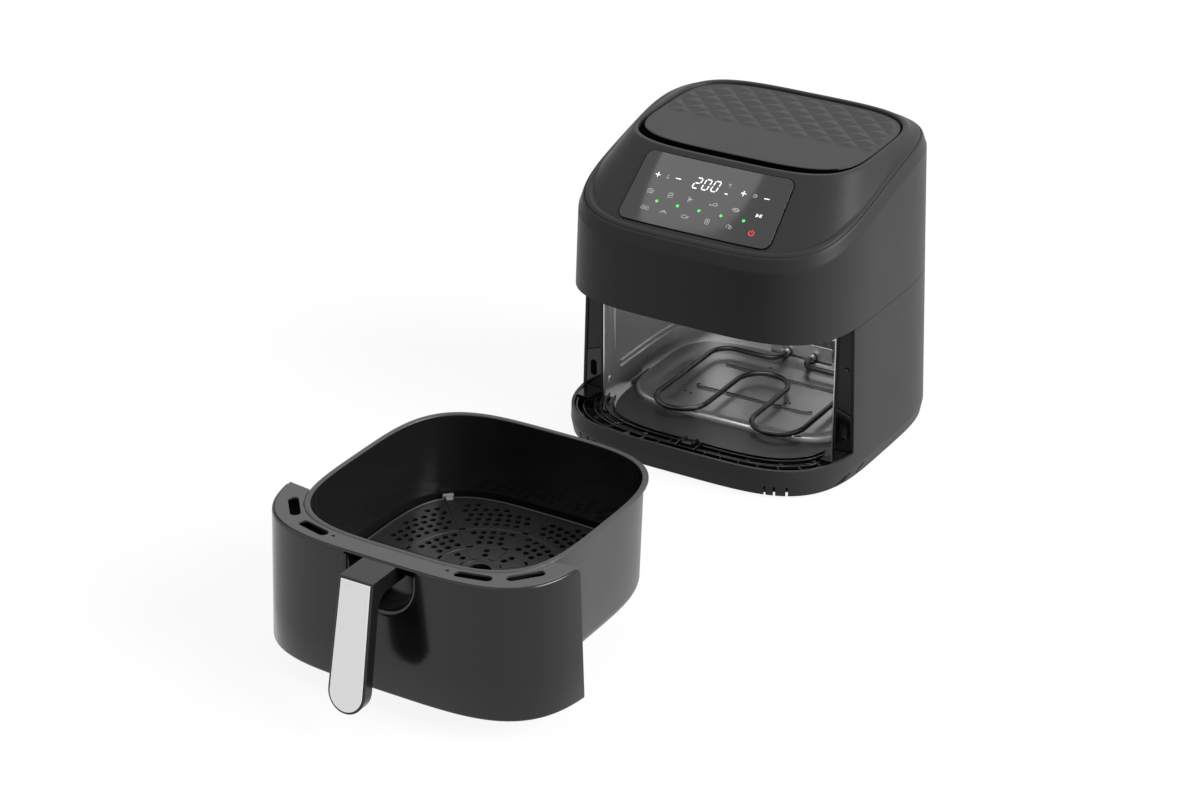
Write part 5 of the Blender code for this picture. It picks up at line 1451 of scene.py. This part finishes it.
class AIRFRYER_OT_stage(bpy.types.Operator):
    """Pale floor, white surroundings, soft lamps and the camera"""
    bl_idname = "airfryer.stage"
    bl_label = "Stage"

    def execute(self, context):
        scene = bpy.context.scene
        half = sizes().floor / 2
        mesh = bpy.data.meshes.new("floor")
        mesh.from_pydata([(-half, -half, 0), (half, -half, 0), (half, half, 0), (-half, half, 0)], [],
                         [(0, 1, 2, 3)])
        mesh.materials.append(white_floor())
        floor = put("floor", mesh)

        world = bpy.data.worlds.new("white_room")
        world.use_nodes = True
        tree = world.node_tree
        tree.nodes.clear()
        dim = add(tree, "ShaderNodeBackground", {"Color": (1, 1, 1, 1), "Strength": 0.32})
        bright = add(tree, "ShaderNodeBackground", {"Color": (1, 1, 1, 1), "Strength": 1.0})
        both = add(tree, "ShaderNodeMixShader", (), {0: seen_rays(tree), 1: dim.outputs[0],
                                                     2: bright.outputs[0]})
        add(tree, "ShaderNodeOutputWorld", (), {"Surface": both.outputs[0]})
        scene.world = world

        # Broad suns: name, strength, angle of their disc, azimuth and height, all angles in degrees
        for name, strength, spread, azimuth, height in (("lamp_right", 4.8, 40, 98, 28),
                                                        ("lamp_left", 0.5, 70, -45, 50),
                                                        ("lamp_rear", 0.6, 70, 170, 60)):
            towards = bearing(azimuth, height)
            lamp(name, "SUN", strength, towards * 3, towards, angle=math.radians(spread))
        # A small round window: its mirror image leaves a soft arc on the touch panel
        place, glint = Vector((-1.477, -0.280, 3.085)), Vector((-0.074, 0.318, 0.398))
        lamp("lamp_window", "AREA", 2.8, place, place - glint, shape="DISK", size=0.8)
        # Stands for the light that the cavity's own walls would scatter; it hangs above the opening
        lamp("lamp_cavity", "AREA", 0.42, (0, AXIS_Y - 10 * MM, OPENING_TOP + 16 * MM), size=150 * MM)

        lens = bpy.data.cameras.new("camera")
        lens.lens, lens.sensor_width = 90, 36
        camera = put("camera", lens)
        azimuth, height = 30.96, 26.34
        back = bearing(azimuth, height)
        right = Vector((math.cos(math.radians(azimuth)), math.sin(math.radians(azimuth)), 0))
        aim = Matrix((right, back.cross(right), back)).transposed().to_4x4()
        camera.matrix_world = at(1.3294, -2.2342, 1.4293) @ aim
        scene.camera = camera
        scene.view_settings.view_transform = "Standard"
        return {"FINISHED"}


PIECES = (AIRFRYER_OT_lower_housing, AIRFRYER_OT_upper_housing, AIRFRYER_OT_control_shroud,
          AIRFRYER_OT_top_lid, AIRFRYER_OT_touch_panel, AIRFRYER_OT_opening, AIRFRYER_OT_cavity,
          AIRFRYER_OT_elements, AIRFRYER_OT_inner_works, AIRFRYER_OT_pan, AIRFRYER_OT_drawer_panel,
          AIRFRYER_OT_handle, AIRFRYER_OT_crisper_plate, AIRFRYER_OT_stage)


class AIRFRYER_PT_sidebar(bpy.types.Panel):
    """Lists the sizes, the colours and the pieces of the air fryer"""
    bl_idname = "AIRFRYER_PT_sidebar"
    bl_label = "Air fryer"
    bl_space_type = "VIEW_3D"
    bl_region_type = "UI"
    bl_category = "Air fryer"

    def draw(self, context):
        for group in (context.scene.air_fryer_sizes, context.scene.air_fryer_colours):
            box = self.layout.box()
            for name in group.__annotations__:
                box.prop(group, name)
        for piece in PIECES:
            self.layout.operator(piece.bl_idname)


CLASSES = (AirFryerSizes, AirFryerColours, *PIECES, AIRFRYER_PT_sidebar)


def register():
    for each in CLASSES:
        bpy.utils.register_class(each)
    bpy.types.Scene.air_fryer_sizes = PointerProperty(type=AirFryerSizes)
    bpy.types.Scene.air_fryer_colours = PointerProperty(type=AirFryerColours)


def unregister():
    del bpy.types.Scene.air_fryer_colours
    del bpy.types.Scene.air_fryer_sizes
    for each in reversed(CLASSES):
        bpy.utils.unregister_class(each)


def main():
    register()
    for piece in PIECES:
        getattr(bpy.ops.airfryer, piece.bl_idname.split(".")[1])()
    bpy.context.view_layer.update()


if __name__ == "__main__":
    main()
